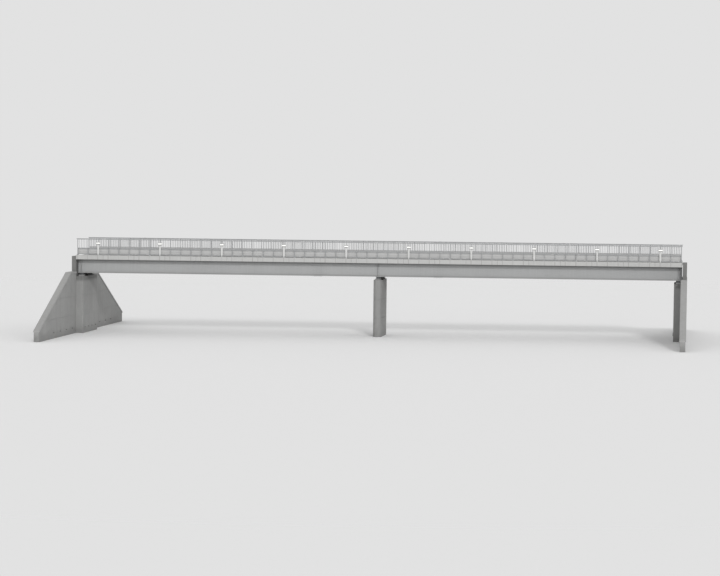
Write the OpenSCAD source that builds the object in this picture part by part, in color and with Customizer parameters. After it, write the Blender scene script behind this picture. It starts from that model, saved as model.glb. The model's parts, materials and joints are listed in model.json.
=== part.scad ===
// Two-span girder bridge over a dual carriageway, as a half-size model.
// Every size below is in millimetres of the model, so the real bridge measures twice as much.
// X runs along the deck, -Y is the near side, and the ground is at Z = 0.

/* [Spans] */
// Length of each span, from the pier to the last parapet post
span_l = 14500; // [9000:100:16500]
// Deck that runs past the last post at each end
end_margin = 60; // [55:5:100]
// Angle between the supports and a line square to the deck, in degrees
skew = 6; // [0:1:12]
// Clear height from the ground to the girders
headroom = 2900; // [2400:50:3400]

/* [Deck] */
// Width of the deck over its edge beams
deck_w = 2250; // [2100:10:2500]
// Thickness of the concrete slab
slab_t = 110; // [90:5:140]
// Concrete between the slab and the girders' top flanges
haunch = 25; // [15:5:40]
// Thickness of the deck surfacing
surfacing_t = 25; // [15:5:40]
// Width of an edge beam
edge_w = 175; // [168:1:200]
// Height of an edge beam above the slab
edge_up = 85; // [60:5:120]
// Depth of the drip below an edge beam
drip = 15; // [10:1:25]
// Distance from an edge beam's inner face to its drip
drip_set = 60; // [40:5:90]
// Chamfer on the edge beams
edge_chamfer = 12; // [6:1:13]
// Number of parapet bays along one edge beam unit
unit_bays = 3; // [2:1:6]
// Width and depth of the joint between two units
unit_joint = 8; // [4:1:12]

/* [Girders] */
// Distance from the deck's edge in to a girder's web
girder_in = 375; // [330:5:450]
// Depth of a girder
girder_d = 650; // [500:10:800]
// Thickness of a girder's web
web_t = 9; // [7:1:14]
// Width of a girder's top flange
top_flange_w = 200; // [190:5:240]
// Thickness of a girder's top flange
top_flange_t = 15; // [10:1:25]
// Width of a girder's bottom flange
low_flange_w = 240; // [200:10:280]
// Thickness of a girder's bottom flange
low_flange_t = 24; // [15:1:35]
// Width of a web stiffener
stiffener_w = 80; // [60:5:85]
// Thickness of a web stiffener
stiffener_t = 10; // [6:1:15]
// Corner cut off a stiffener where it meets web and flange
snipe = 20; // [12:1:30]
// Distance from the pier's centre line to a girder splice
splice_x = 2900; // [2500:50:3200]
// Length of a splice's cover plates
splice_l = 420; // [300:10:500]
// Thickness of a splice's cover plates
cover_t = 8; // [5:1:12]
// Clearance between a splice's cover plates and the next face
cover_gap = 15; // [10:1:25]

/* [Bracing] */
// Widest distance between two cross frames
frame_max = 1850; // [1500:50:2400]
// Width of a cross frame's bars
brace_w = 40; // [30:2:50]
// Thickness of a cross frame's bars
brace_t = 8; // [6:1:12]
// Width of the leg that stands out from a cross frame's chords
brace_leg = 36; // [24:2:46]
// Length of a gusset plate's side
gusset = 110; // [90:5:130]
// Depth of the cross beams at the supports
beam_d = 390; // [300:10:450]
// Width of the cross beams' flanges
beam_w = 150; // [110:10:180]
// Thickness of the cross beams' flanges
beam_t = 14; // [10:1:20]

/* [Bearings] */
// Height of a bearing
bearing_h = 100; // [90:5:140]
// Width of a bearing's plates
bearing_w = 200; // [180:10:220]
// Thickness of a bearing's bottom and sliding plates
plate_t = 12; // [8:1:16]
// Thickness of a bearing's top plate
top_plate_t = 20; // [14:1:26]
// Diameter of a bearing's pot
pot_dia = 170; // [150:5:178]
// Height of a bearing's pot
pot_h = 34; // [26:2:40]
// Diameter of a bearing's piston
piston_dia = 140; // [110:5:145]
// Width of the concrete plinth below a bearing
plinth_w = 250; // [230:5:270]
// Height of the concrete plinth below a bearing
plinth_h = 60; // [40:5:100]

/* [Pier] */
// Thickness of the pier along the deck
pier_t = 400; // [380:10:600]
// Distance from the deck's edge in to the pier's nose
pier_in = 100; // [50:10:130]

/* [Abutments] */
// Depth of the bearing shelf from the front wall's face to the back wall
shelf_d = 400; // [340:10:480]
// Thickness of the back wall
back_t = 200; // [160:10:250]
// Distance that a front wall stands past the deck's edge
wall_over = 125; // [60:5:200]
// Gap between the deck's end and the back wall
joint_gap = 20; // [14:1:30]
// Length of a wing wall
wing_l = 5900; // [5000:50:6600]
// Length of a wing wall's level part
wing_level = 900; // [600:50:1500]
// Thickness of a wing wall
wing_t = 250; // [200:10:280]
// Distance from the front wall's face back to the wing walls
wing_set = 340; // [300:10:350]
// Height of a wing wall at its outer end
wing_end_h = 450; // [350:10:700]
// Thickness of a wing wall's coping
coping_t = 75; // [50:5:100]
// Distance that a coping stands past the wing wall's faces
coping_lip = 25; // [15:5:40]
// Length of a coping stone
coping_l = 600; // [400:50:900]
// Width and depth of the joint between two coping stones
coping_joint = 6; // [4:1:10]

/* [Concrete] */
// Chamfer on the walls' corners
arris = 15; // [8:1:25]
// Height of one lift of concrete
lift_h = 900; // [700:50:1200]
// Height and depth of the groove between two lifts
lift_groove = 10; // [6:1:14]

/* [Parapets] */
// Widest distance between two parapet posts
bay_max = 500; // [400:10:560]
// Height of a parapet above its edge beam
parapet_h = 800; // [700:10:900]
// Width of a post along the deck
post_w = 30; // [24:2:50]
// Depth of a post across the deck
post_d = 44; // [36:2:50]
// Width of a post's foot plate
foot_w = 100; // [80:2:102]
// Thickness of a post's foot plate
foot_t = 10; // [6:1:14]
// Height of the ribs that stiffen a post's foot
foot_rib_h = 70; // [50:5:90]
// Thickness of the ribs that stiffen a post's foot
foot_rib_t = 8; // [5:1:12]
// Height of the top rail
top_rail_h = 40; // [34:2:60]
// Radius of the top rail's upper edges
top_rail_r = 16; // [8:1:18]
// Number of parapet bays from one sleeve of the top rail to the next
sleeve_bays = 6; // [2:1:12]
// Length of a sleeve
sleeve_l = 120; // [80:10:160]
// Thickness of a sleeve
sleeve_t = 4; // [3:1:6]
// Height of the middle and bottom rails
rail_h = 36; // [28:2:50]
// Depth of the middle and bottom rails across the deck
rail_d = 30; // [28:2:40]
// Radius of the upper edges of the middle and bottom rails
rail_r = 6; // [3:1:8]
// Height of the middle rail's top above the edge beam
mid_rail_z = 340; // [300:10:420]
// Height of the bottom rail's underside above the edge beam
low_rail_z = 40; // [25:5:80]

/* [Infill] */
// Widest distance between two infill bars
bar_max = 84; // [60:1:110]
// Width of an infill bar
bar_w = 14; // [8:1:20]
// Thickness of an infill bar
bar_t = 10; // [6:1:14]
// Width of the flats that hold the bars
flat_w = 24; // [18:1:28]
// Thickness of the flats that hold the bars
flat_t = 8; // [5:1:10]
// Thickness of the solid panels below the middle rail
panel_t = 4; // [3:1:6]
// Depth of the pressed ribs in the panels
panel_rib = 8; // [5:1:12]
// Width of a pressed rib's crown
rib_w = 50; // [36:2:60]
// Gap between two panels
panel_gap = 12; // [8:1:20]

/* [Lamps] */
// Distance from one lamp to the next
lamp_pitch = 3000; // [2000:100:4000]
// Distance from the last post to the first lamp
lamp_first = 1000; // [500:100:1500]
// Distance from the parapet's top down to the middle of a lamp
lamp_drop = 220; // [160:10:260]
// Width of a lamp
lamp_w = 220; // [160:10:260]
// Height of a lamp
lamp_h = 130; // [110:5:160]
// Depth of a lamp's housing
lamp_d = 60; // [50:1:64]
// Radius of a lamp's corners
lamp_r = 24; // [12:1:36]
// Width and depth of the rim around a lens
lamp_rim = 9; // [6:1:11]
// Distance that a lens stands out of its housing
lens_out = 14; // [8:1:20]
// Width of the cable duct below a lamp
duct_w = 90; // [70:5:110]
// Depth of a cable duct
duct_d = 30; // [20:1:40]
// Width of a duct's foot, between the bolts of the post's foot plate
duct_foot_w = 44; // [36:2:46]
// Height of a duct's foot
duct_foot_h = 50; // [40:5:80]

/* [Hidden] */

$fn = 48;
NEAR = -1;
FAR = 1;
LEFT = -1;
RIGHT = 1;
// Distance that a cutter reaches past what it cuts
past = 1;

// Across the deck
half_w = deck_w / 2;
edge_in = half_w - edge_w;
girder_y = half_w - girder_in;
pier_l = deck_w - 2 * pier_in;
front_w = deck_w + 2 * wall_over;
post_y = half_w - edge_w / 2;
rail_y = post_y - post_d / 2 - rail_d / 2;
panel_y = rail_y - rail_d / 2;
top_rail_w = post_d + rail_d;

// Half the distance between the girders' webs, on a line of support
reach = girder_y / cos(skew) - web_t / 2;
frame_half = reach - stiffener_w / 4;
lens_r = lamp_h / 2 - 2 * lamp_rim + lens_out / 4;
lens_l = lamp_w - 4 * lamp_rim;

// Along the deck
deck_l = 2 * (span_l + end_margin);
bays = ceil(span_l / bay_max);
bay = span_l / bays;
bay_bars = ceil(bay / bar_max);
lamps = floor(2 * (span_l - lamp_first) / lamp_pitch);
face_x = deck_l / 2 - (shelf_d - joint_gap) / cos(skew);
front_d = shelf_d + back_t;
bearing_x = face_x + shelf_d / 2 / cos(skew);
frames = ceil(bearing_x / frame_max) - 1;
frame_pitch = bearing_x / (frames + 1);
girder_x = deck_l / 2 - joint_gap / 2;

// Upwards
z_plinth = headroom - bearing_h;
z_shelf = z_plinth - plinth_h;
z_web = headroom + low_flange_t;
z_flange = headroom + girder_d;
z_slab = z_flange + haunch;
z_top = z_slab + slab_t;
z_way = z_top + surfacing_t;
z_edge = z_top + edge_up;
z_rail = z_edge + parapet_h - top_rail_h;
z_mid = z_edge + mid_rail_z;

// How far a line of support moves along the deck at a distance across it
function shift(y) = y * tan(skew);
function post_x(i) = i * bay;

// Places half way between two posts, at every so many bays
function mid_bays(every) = [
    for (s = [LEFT, RIGHT]) for (i = [every:every:bays - 1]) s * (i - 0.5) * bay
];

// Puts its children on a line of support, turned to the skew
module on_line(x, y = 0) translate([x + shift(y), y, 0]) rotate([0, 0, -skew]) children();

// Runs an outline, drawn as across and up, along the deck
module along(length) rotate([90, 0, 90]) linear_extrude(height = length, center = true) children();

// Runs an outline, drawn as along and up, across the deck
module across(length) rotate([90, 0, 0]) linear_extrude(height = length, center = true) children();

// Draws its children for the far side, or their mirror image for the near side
module on_side(side) translate([shift(side * post_y), 0, 0])
    mirror([0, side == NEAR ? 1 : 0, 0]) children();

module half_turn() rotate([0, 0, 180]) children();

module block(size) translate([-size[0] / 2, -size[1] / 2, 0]) cube(size);

// Keeps what lies between the two skewed ends of the deck
module between_ends() intersection() {
    children();
    linear_extrude(height = z_edge + past) polygon([
        for (end = [[LEFT, NEAR], [RIGHT, NEAR], [RIGHT, FAR], [LEFT, FAR]])
            [end[0] * deck_l / 2 + shift(end[1] * deck_w), end[1] * deck_w]
    ]);
}

// Heights of the grooves between a wall's lifts
function lifts(top) = [for (z = lift_h; z < top - lift_h / 2; z = z + lift_h) z];

// Pier: a leaf with round noses and a groove around it at each lift

module pier_wall() color("dimgray") on_line(0) difference() {
    linear_extrude(height = z_shelf) pier_outline(0);
    for (z = lifts(z_shelf)) translate([0, 0, z]) linear_extrude(height = lift_groove) difference() {
        pier_outline(-past);
        pier_outline(lift_groove);
    }
}

module pier_outline(inset) {
    nose = pier_t / 2;
    straight = pier_l - 2 * nose;
    square([pier_t - 2 * inset, straight], center = true);
    for (s = [NEAR, FAR]) translate([0, s * straight / 2]) circle(r = nose - inset);
}

// Bearings on their plinths, one under each girder at each line of support

module pair_on(x) for (side = [NEAR, FAR]) on_line(x, side * girder_y) children();

module plinths(x) color("silver") pair_on(x) translate([0, 0, z_shelf])
    block([plinth_w, plinth_w, plinth_h]);

module bearings(x) color("slategray") pair_on(x) translate([0, 0, z_plinth]) bearing();

module bearing() {
    piston_top = bearing_h - top_plate_t - plate_t;
    block([bearing_w, bearing_w, plate_t]);
    translate([0, 0, plate_t]) cylinder(d = pot_dia, h = pot_h);
    translate([0, 0, plate_t + pot_h]) cylinder(d = piston_dia, h = piston_top - plate_t - pot_h);
    translate([0, 0, piston_top]) block([bearing_w, pot_dia, plate_t]);
    translate([0, 0, piston_top + plate_t]) block([bearing_w, bearing_w, top_plate_t]);
}

// Abutments: the left one is drawn, and the right one is its half turn

module front_wall() color("silver") on_line(-face_x) difference() {
    linear_extrude(height = z_shelf) wall_plan(front_d, front_w);
    for (z = lifts(z_shelf)) translate([-lift_groove, -front_w, z])
        cube([2 * lift_groove, 2 * front_w, lift_groove]);
}

// Plan of a wall whose two front corners are chamfered
module wall_plan(deep, wide) polygon([
    [-deep, -wide / 2], [-arris, -wide / 2], [0, -wide / 2 + arris],
    [0, wide / 2 - arris], [-arris, wide / 2], [-deep, wide / 2]
]);

module back_wall() color("silver") on_line(-face_x) translate([back_t - front_d, 0, z_shelf])
    linear_extrude(height = z_way - z_shelf) wall_plan(back_t, deck_w);

// A wing wall is drawn away from the front wall
module wing_place(side) on_line(-face_x) translate([-wing_set, side * front_w / 2, 0])
    mirror([0, side == NEAR ? 1 : 0, 0]) children();

// A wing wall's top runs level at first and then slopes down
module wing_wall(side) color("silver") wing_place(side) difference() {
    rotate([90, 0, 90]) translate([0, 0, -wing_t]) linear_extrude(height = wing_t) polygon([
        [0, 0], [wing_l, 0], [wing_l, wing_end_h], [wing_level, headroom], [0, headroom]
    ]);
    for (z = lifts(headroom)) translate([-lift_groove, -past, z])
        cube([2 * lift_groove, wing_l + 2 * past, lift_groove]);
}

// A coping lies on its wall's top: stones with a stepped edge, on a core that closes the joints
module wing_coping(side) color("lightgray") wing_place(side) {
    coping_layer(arris + coping_joint, coping_t - coping_joint);
    difference() {
        union() {
            coping_layer(0, coping_t - arris);
            coping_layer(arris, coping_t);
        }
        for (y = [coping_l:coping_l:wing_l - coping_l / 2])
            translate([-front_d - wing_t, y - coping_joint / 2, 0])
                cube([2 * front_d, coping_joint, headroom + 2 * coping_t]);
    }
}

module coping_layer(inset, high) rotate([90, 0, 90]) translate([0, 0, inset - wing_t - coping_lip])
    linear_extrude(height = wing_t + 2 * (coping_lip - inset)) polygon([
        [0, headroom], [wing_level, headroom], [wing_l, wing_end_h],
        [wing_l, wing_end_h + high], [wing_level, headroom + high], [0, headroom + high]
    ]);

// Girders: plate girders in three lengths, with stiffeners at each frame and each bearing

module girder(side, from, to) color("gainsboro") {
    y = side * girder_y;
    translate([(from + to) / 2 + shift(y), y, 0]) along(to - from) girder_outline();
    for (x = frame_lines()) if (x > from && x < to) stiffener(side, x, -side);
    for (x = [-bearing_x, 0, bearing_x]) if (x > from && x < to)
        for (face = [NEAR, FAR]) stiffener(side, x, face);
}

function frame_lines() = [for (s = [LEFT, RIGHT]) for (k = [1:frames]) s * k * frame_pitch];

module girder_outline() {
    translate([-low_flange_w / 2, headroom]) square([low_flange_w, low_flange_t]);
    translate([-web_t / 2, headroom]) square([web_t, girder_d]);
    translate([-top_flange_w / 2, z_flange - top_flange_t]) square([top_flange_w, top_flange_t]);
}

module stiffener(side, x, face) on_line(x, side * girder_y) along(stiffener_t)
    mirror([face == NEAR ? 1 : 0, 0]) stiffener_outline();

module stiffener_outline() {
    root = web_t / 2;
    high = z_flange - top_flange_t;
    polygon([
        [0, z_web + snipe], [root, z_web + snipe], [root + snipe, z_web],
        [root + stiffener_w, z_web], [root + stiffener_w, high],
        [root + snipe, high], [root, high - snipe], [0, high - snipe]
    ]);
}

module girder_splices() color("gainsboro") for (side = [NEAR, FAR], end = [LEFT, RIGHT])
    translate([end * splice_x + shift(side * girder_y), side * girder_y, 0]) splice();

module splice() {
    high = z_flange - top_flange_t;
    low_w = (low_flange_w - web_t) / 2 - cover_t - cover_gap;
    top_w = (top_flange_w - web_t) / 2 - cover_t - cover_gap;
    for (s = [NEAR, FAR]) {
        translate([0, s * (web_t + cover_t) / 2, z_web + cover_t + cover_gap])
            block([splice_l, cover_t, high - z_web - 2 * (cover_t + cover_gap)]);
        translate([0, s * (low_flange_w - low_w) / 2, z_web]) block([splice_l, low_w, cover_t]);
        translate([0, s * (top_flange_w - top_w) / 2, high - cover_t])
            block([splice_l, top_w, cover_t]);
    }
    translate([0, 0, headroom - cover_t]) block([splice_l, low_flange_w, cover_t]);
}

// Bracing between the girders

module cross_frames(end) color("gainsboro") for (k = [1:frames])
    on_line(end * k * frame_pitch) translate([stiffener_t / 2, 0, 0]) cross_frame();

// Chords with a leg that stands out, crossed bars and a gusset plate in each corner
module cross_frame() {
    low = z_web + brace_w / 2;
    high = z_flange - top_flange_t - brace_w / 2;
    rotate([90, 0, 90]) linear_extrude(height = brace_t) frame_outline(low, high);
    for (z = [low, high - brace_t]) translate([0, stiffener_w - reach, z])
        cube([brace_leg, 2 * (reach - stiffener_w), brace_t]);
}

module frame_outline(low, high) {
    chord_gap = high - low - brace_w;
    slope = atan2(chord_gap, 2 * frame_half);
    for (z = [low, high - brace_w]) translate([-frame_half, z]) square([2 * frame_half, brace_w]);
    for (s = [-1, 1]) translate([0, (low + high) / 2]) rotate(s * slope)
        square([2 * frame_half / cos(slope) - 2 * brace_w, brace_w], center = true);
    translate([0, (low + high) / 2]) square([3 * brace_w, 1.5 * brace_w], center = true);
    for (s = [-1, 1]) translate([s * frame_half, low]) scale([-s, 1]) gusset_outline();
    for (s = [-1, 1]) translate([s * frame_half, high]) scale([-s, -1]) gusset_outline();
}

module gusset_outline() polygon([
    [0, 0], [1.5 * gusset, 0], [gusset, gusset / 2], [gusset / 2, gusset], [0, gusset]
]);

module support_diaphragms() color("gainsboro") for (x = [-bearing_x, 0, bearing_x]) on_line(x)
    across(2 * (reach - stiffener_w)) beam_outline();

module beam_outline() {
    low = z_web + (girder_d - beam_d) / 2 - low_flange_t;
    for (z = [low, low + beam_d - beam_t]) translate([-beam_w / 2, z]) square([beam_w, beam_t]);
    translate([-web_t / 2, low]) square([web_t, beam_d]);
}

// Deck

module deck_slab() color("lightgray") between_ends() along(deck_l + deck_w) slab_outline();

module slab_outline() {
    translate([-edge_in, z_slab]) square([2 * edge_in, slab_t]);
    for (side = [NEAR, FAR]) translate([side * girder_y, z_slab]) polygon([
        [-top_flange_w / 2 - haunch, 0], [-top_flange_w / 2, -haunch],
        [top_flange_w / 2, -haunch], [top_flange_w / 2 + haunch, 0]
    ]);
}

module deck_surfacing() color("darkslategray") between_ends() translate([0, 0, z_top])
    block([deck_l + deck_w, 2 * edge_in, surfacing_t]);

module edge_beam(side) color("whitesmoke") between_ends() difference() {
    along(deck_l + deck_w) mirror([side == NEAR ? 1 : 0, 0]) edge_outline();
    for (x = mid_bays(unit_bays)) translate([x + shift(side * post_y), side * post_y, 0]) {
        translate([0, side * edge_w / 2, z_slab - 2 * drip])
            block([unit_joint, 2 * unit_joint, z_edge]);
        translate([0, 0, z_edge - unit_joint]) block([unit_joint, 2 * edge_w, 2 * unit_joint]);
    }
}

module edge_outline() polygon([
    [edge_in, z_slab], [edge_in + drip_set, z_slab], [edge_in + drip_set + drip, z_slab - drip],
    [half_w, z_slab - drip], [half_w, z_edge - edge_chamfer], [half_w - edge_chamfer, z_edge],
    [edge_in + edge_chamfer, z_edge], [edge_in, z_edge - edge_chamfer]
]);

module movement_joints() color("dimgray") for (turn = [0, 180]) rotate([0, 0, turn])
    on_line(-deck_l / 2) translate([-joint_gap * cos(skew) / 2, 0, 0])
        across(2 * edge_in / cos(skew) - joint_gap) joint_outline(joint_gap * cos(skew));

// Rubber seal with a V in its top
module joint_outline(wide) polygon([
    [-wide / 2, z_top], [wide / 2, z_top], [wide / 2, z_way], [wide / 4, z_way],
    [0, (z_top + z_way) / 2], [-wide / 4, z_way], [-wide / 2, z_way]
]);

// Parapets

module parapet_posts(side) color("silver") on_side(side) for (i = [-bays:bays])
    translate([post_x(i), post_y, z_edge]) post();

module post() {
    block([foot_w, foot_w, foot_t]);
    block([post_w, post_d, parapet_h - top_rail_h]);
    across(foot_rib_t) polygon([
        [-foot_w / 2, foot_t - past], [foot_w / 2, foot_t - past],
        [post_w / 2, foot_rib_h], [-post_w / 2, foot_rib_h]
    ]);
}

module parapet_rails(side) color("silver") on_side(side) {
    translate([0, post_y + post_d / 2 - top_rail_w / 2, z_rail]) {
        along(2 * span_l + foot_w) rail_outline(top_rail_w, top_rail_h, top_rail_r);
        for (x = mid_bays(sleeve_bays)) translate([x, 0, 0]) along(sleeve_l)
            rail_outline(top_rail_w + 2 * sleeve_t, top_rail_h + sleeve_t, top_rail_r);
    }
    for (z = [low_rail_z, mid_rail_z - rail_h]) translate([0, rail_y, z_edge + z])
        along(2 * span_l + post_w) rail_outline(rail_d, rail_h, rail_r);
}

// Rail with flat sides and underside and two rounded upper edges
module rail_outline(wide, high, round_r) {
    translate([-wide / 2, 0]) square([wide, high - round_r]);
    translate([round_r - wide / 2, 0]) square([wide - 2 * round_r, high]);
    for (s = [-1, 1]) translate([s * (wide / 2 - round_r), high - round_r]) circle(r = round_r);
}

module parapet_panels(side) color("lightgray") on_side(side) for (i = [-bays:bays - 1])
    translate([post_x(i) + bay / 2, panel_y, z_edge]) along(bay - panel_gap) panel_outline();

// Thin sheet with two pressed ribs that stand out on the deck's side
module panel_outline() {
    third = (mid_rail_z - low_rail_z) / 3;
    ribs = [low_rail_z + third, low_rail_z + 2 * third];
    face = [for (z = ribs) for (p = [
        [0, -rib_w / 2 - panel_rib], [-panel_rib, -rib_w / 2],
        [-panel_rib, rib_w / 2], [0, rib_w / 2 + panel_rib]]) [p[0], p[1] + z]];
    back = [for (k = [len(face) - 1:-1:0]) face[k]];
    polygon(concat(
        [[-panel_t, low_rail_z]], [for (p = face) p - [panel_t, 0]], [[-panel_t, mid_rail_z]],
        [[0, mid_rail_z]], back, [[0, low_rail_z]]
    ));
}

// Infill above the middle rail: two long flats with upright bars between them
module parapet_bars(side, end) color("silver") on_side(side) {
    low = z_mid + flat_t;
    high = z_rail - flat_t;
    for (z = [z_mid, high]) translate([end * span_l / 2, rail_y, z])
        block([span_l - bar_w, flat_w, flat_t]);
    for (i = [0:bays - 1]) for (k = [1:bay_bars - 1])
        translate([end * (i + k / bay_bars) * bay, rail_y, low - past])
            block([bar_w, bar_t, high - low + 2 * past]);
}

// Lamps, on the outer faces of posts of the near parapet

function lamp_x(k) = round((lamp_first - span_l + k * lamp_pitch) / bay) * bay;

module at_lamps(z) for (k = [0:lamps])
    translate([lamp_x(k) - shift(post_y), -post_y - post_d / 2, z_edge + z]) children();

module lamp_housings() color("gray") at_lamps(parapet_h - lamp_drop) rotate([90, 0, 0])
    difference() {
        linear_extrude(height = lamp_d) lamp_outline(0);
        translate([0, 0, lamp_d - lamp_rim]) linear_extrude(height = 2 * lamp_rim)
            lamp_outline(lamp_rim);
    }

module lamp_outline(inset) {
    wide = lamp_w / 2 - lamp_r;
    high = lamp_h / 2 - lamp_r;
    square([2 * wide, lamp_h - 2 * inset], center = true);
    square([lamp_w - 2 * inset, 2 * high], center = true);
    for (x = [-wide, wide]) for (z = [-high, high]) translate([x, z]) circle(r = lamp_r - inset);
}

// A lens is a drum that lies along the parapet, cut flat at its back
module lamp_lenses() color("white") at_lamps(parapet_h - lamp_drop) intersection() {
    deep = lamp_rim + lens_out;
    translate([0, lens_r - lamp_d - lens_out, 0]) rotate([0, 90, 0])
        cylinder(r = lens_r, h = lens_l, center = true);
    translate([0, lamp_rim - lamp_d - deep / 2, 0])
        cube([lens_l, deep, 2 * lens_r], center = true);
}

module lamp_conduit() color("gray") at_lamps(foot_t) rotate([90, 0, 0])
    linear_extrude(height = duct_d) duct_outline(parapet_h - lamp_drop - lamp_h / 2 - foot_t);

// A duct stands on a foot plate with a narrow foot and ends below its lamp
module duct_outline(high) {
    flare = duct_foot_h + (duct_w - duct_foot_w) / 2;
    polygon([
        [-duct_foot_w / 2, 0], [duct_foot_w / 2, 0], [duct_foot_w / 2, duct_foot_h],
        [duct_w / 2, flare], [duct_w / 2, high], [-duct_w / 2, high], [-duct_w / 2, flare],
        [-duct_foot_w / 2, duct_foot_h]
    ]);
}

pier_wall();
plinths(0);  // pier_plinths
bearings(0);  // pier_bearings
front_wall();  // left_front_wall
back_wall();  // left_back_wall
plinths(-bearing_x);  // left_plinths
bearings(-bearing_x);  // left_bearings
wing_wall(NEAR);  // left_near_wing_wall
wing_wall(FAR);  // left_far_wing_wall
wing_coping(NEAR);  // left_near_coping
wing_coping(FAR);  // left_far_coping
half_turn() front_wall();  // right_front_wall
half_turn() back_wall();  // right_back_wall
plinths(bearing_x);  // right_plinths
bearings(bearing_x);  // right_bearings
half_turn() wing_wall(FAR);  // right_near_wing_wall
half_turn() wing_wall(NEAR);  // right_far_wing_wall
half_turn() wing_coping(FAR);  // right_near_coping
half_turn() wing_coping(NEAR);  // right_far_coping
girder(NEAR, -girder_x, -splice_x);  // near_girder_left
girder(NEAR, -splice_x, splice_x);  // near_girder_middle
girder(NEAR, splice_x, girder_x);  // near_girder_right
girder(FAR, -girder_x, -splice_x);  // far_girder_left
girder(FAR, -splice_x, splice_x);  // far_girder_middle
girder(FAR, splice_x, girder_x);  // far_girder_right
girder_splices();
cross_frames(LEFT);  // left_cross_frames
cross_frames(RIGHT);  // right_cross_frames
support_diaphragms();
deck_slab();
deck_surfacing();
edge_beam(NEAR);  // near_edge_beam
edge_beam(FAR);  // far_edge_beam
movement_joints();
parapet_posts(NEAR);  // near_posts
parapet_rails(NEAR);  // near_rails
parapet_panels(NEAR);  // near_panels
parapet_bars(NEAR, LEFT);  // near_bars_left
parapet_bars(NEAR, RIGHT);  // near_bars_right
parapet_posts(FAR);  // far_posts
parapet_rails(FAR);  // far_rails
parapet_panels(FAR);  // far_panels
parapet_bars(FAR, LEFT);  // far_bars_left
parapet_bars(FAR, RIGHT);  // far_bars_right
lamp_housings();
lamp_lenses();
lamp_conduit();
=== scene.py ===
"""Looks of a two-span girder bridge: its finishes, fixings, seals, lamp fittings and studio.

Sizes are in metres of the half-size model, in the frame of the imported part. X runs along the
deck, -Y is the near side, and the ground is at Z = 0.
"""

import json
import logging
import math
from collections.abc import Callable, Sequence
from dataclasses import dataclass, field
from enum import Enum

import bpy
from mathutils import Matrix, Quaternion, Vector


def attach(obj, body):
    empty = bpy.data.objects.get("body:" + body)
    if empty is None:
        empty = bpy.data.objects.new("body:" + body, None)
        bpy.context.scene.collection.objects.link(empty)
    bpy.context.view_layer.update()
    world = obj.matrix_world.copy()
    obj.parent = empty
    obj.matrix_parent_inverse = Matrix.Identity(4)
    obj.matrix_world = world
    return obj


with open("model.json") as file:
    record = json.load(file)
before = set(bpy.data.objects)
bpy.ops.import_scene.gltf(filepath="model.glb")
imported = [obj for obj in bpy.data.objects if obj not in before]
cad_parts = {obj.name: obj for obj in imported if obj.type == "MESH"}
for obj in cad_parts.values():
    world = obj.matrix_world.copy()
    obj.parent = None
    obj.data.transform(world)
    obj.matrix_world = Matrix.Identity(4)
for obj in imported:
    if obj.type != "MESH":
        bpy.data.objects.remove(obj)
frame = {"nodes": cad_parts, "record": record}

log = logging.getLogger("bridge")
Point = tuple[float, float, float]
Colour = tuple[float, float, float]
Socket = bpy.types.NodeSocket
Where = Callable[[Vector], bool]
Test = Callable[[Vector, Vector], bool]

# How far a fitting reaches into what it stands on.
SUNK = 0.0005
# Least share of a direction along an axis that counts as along it.
ALONG = 0.9
# Half turn about the middle of the pier, which brings the left end to the right one.
HALF_TURN = Matrix.Rotation(math.pi, 4, "Z")


class Way(Enum):
    """A side or an end of the deck, as the sign of its axis."""

    def label(self, what: str) -> str:
        """Name of a piece on this side or at this end."""
        return f"{self.name.lower()}_{what}"


class Side(Way):
    """The two sides of the deck, as the sign of Y."""

    NEAR = -1
    FAR = 1


class End(Way):
    """The two ends of the deck, as the sign of X."""

    LEFT = -1
    RIGHT = 1


class Axis(Enum):
    """The three axes, as places in a vector."""

    X = 0
    Y = 1
    Z = 2


class Part(Enum):
    """What a pick in edit mode selects."""

    FACE = "FACE"
    EDGE = "EDGE"


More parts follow.
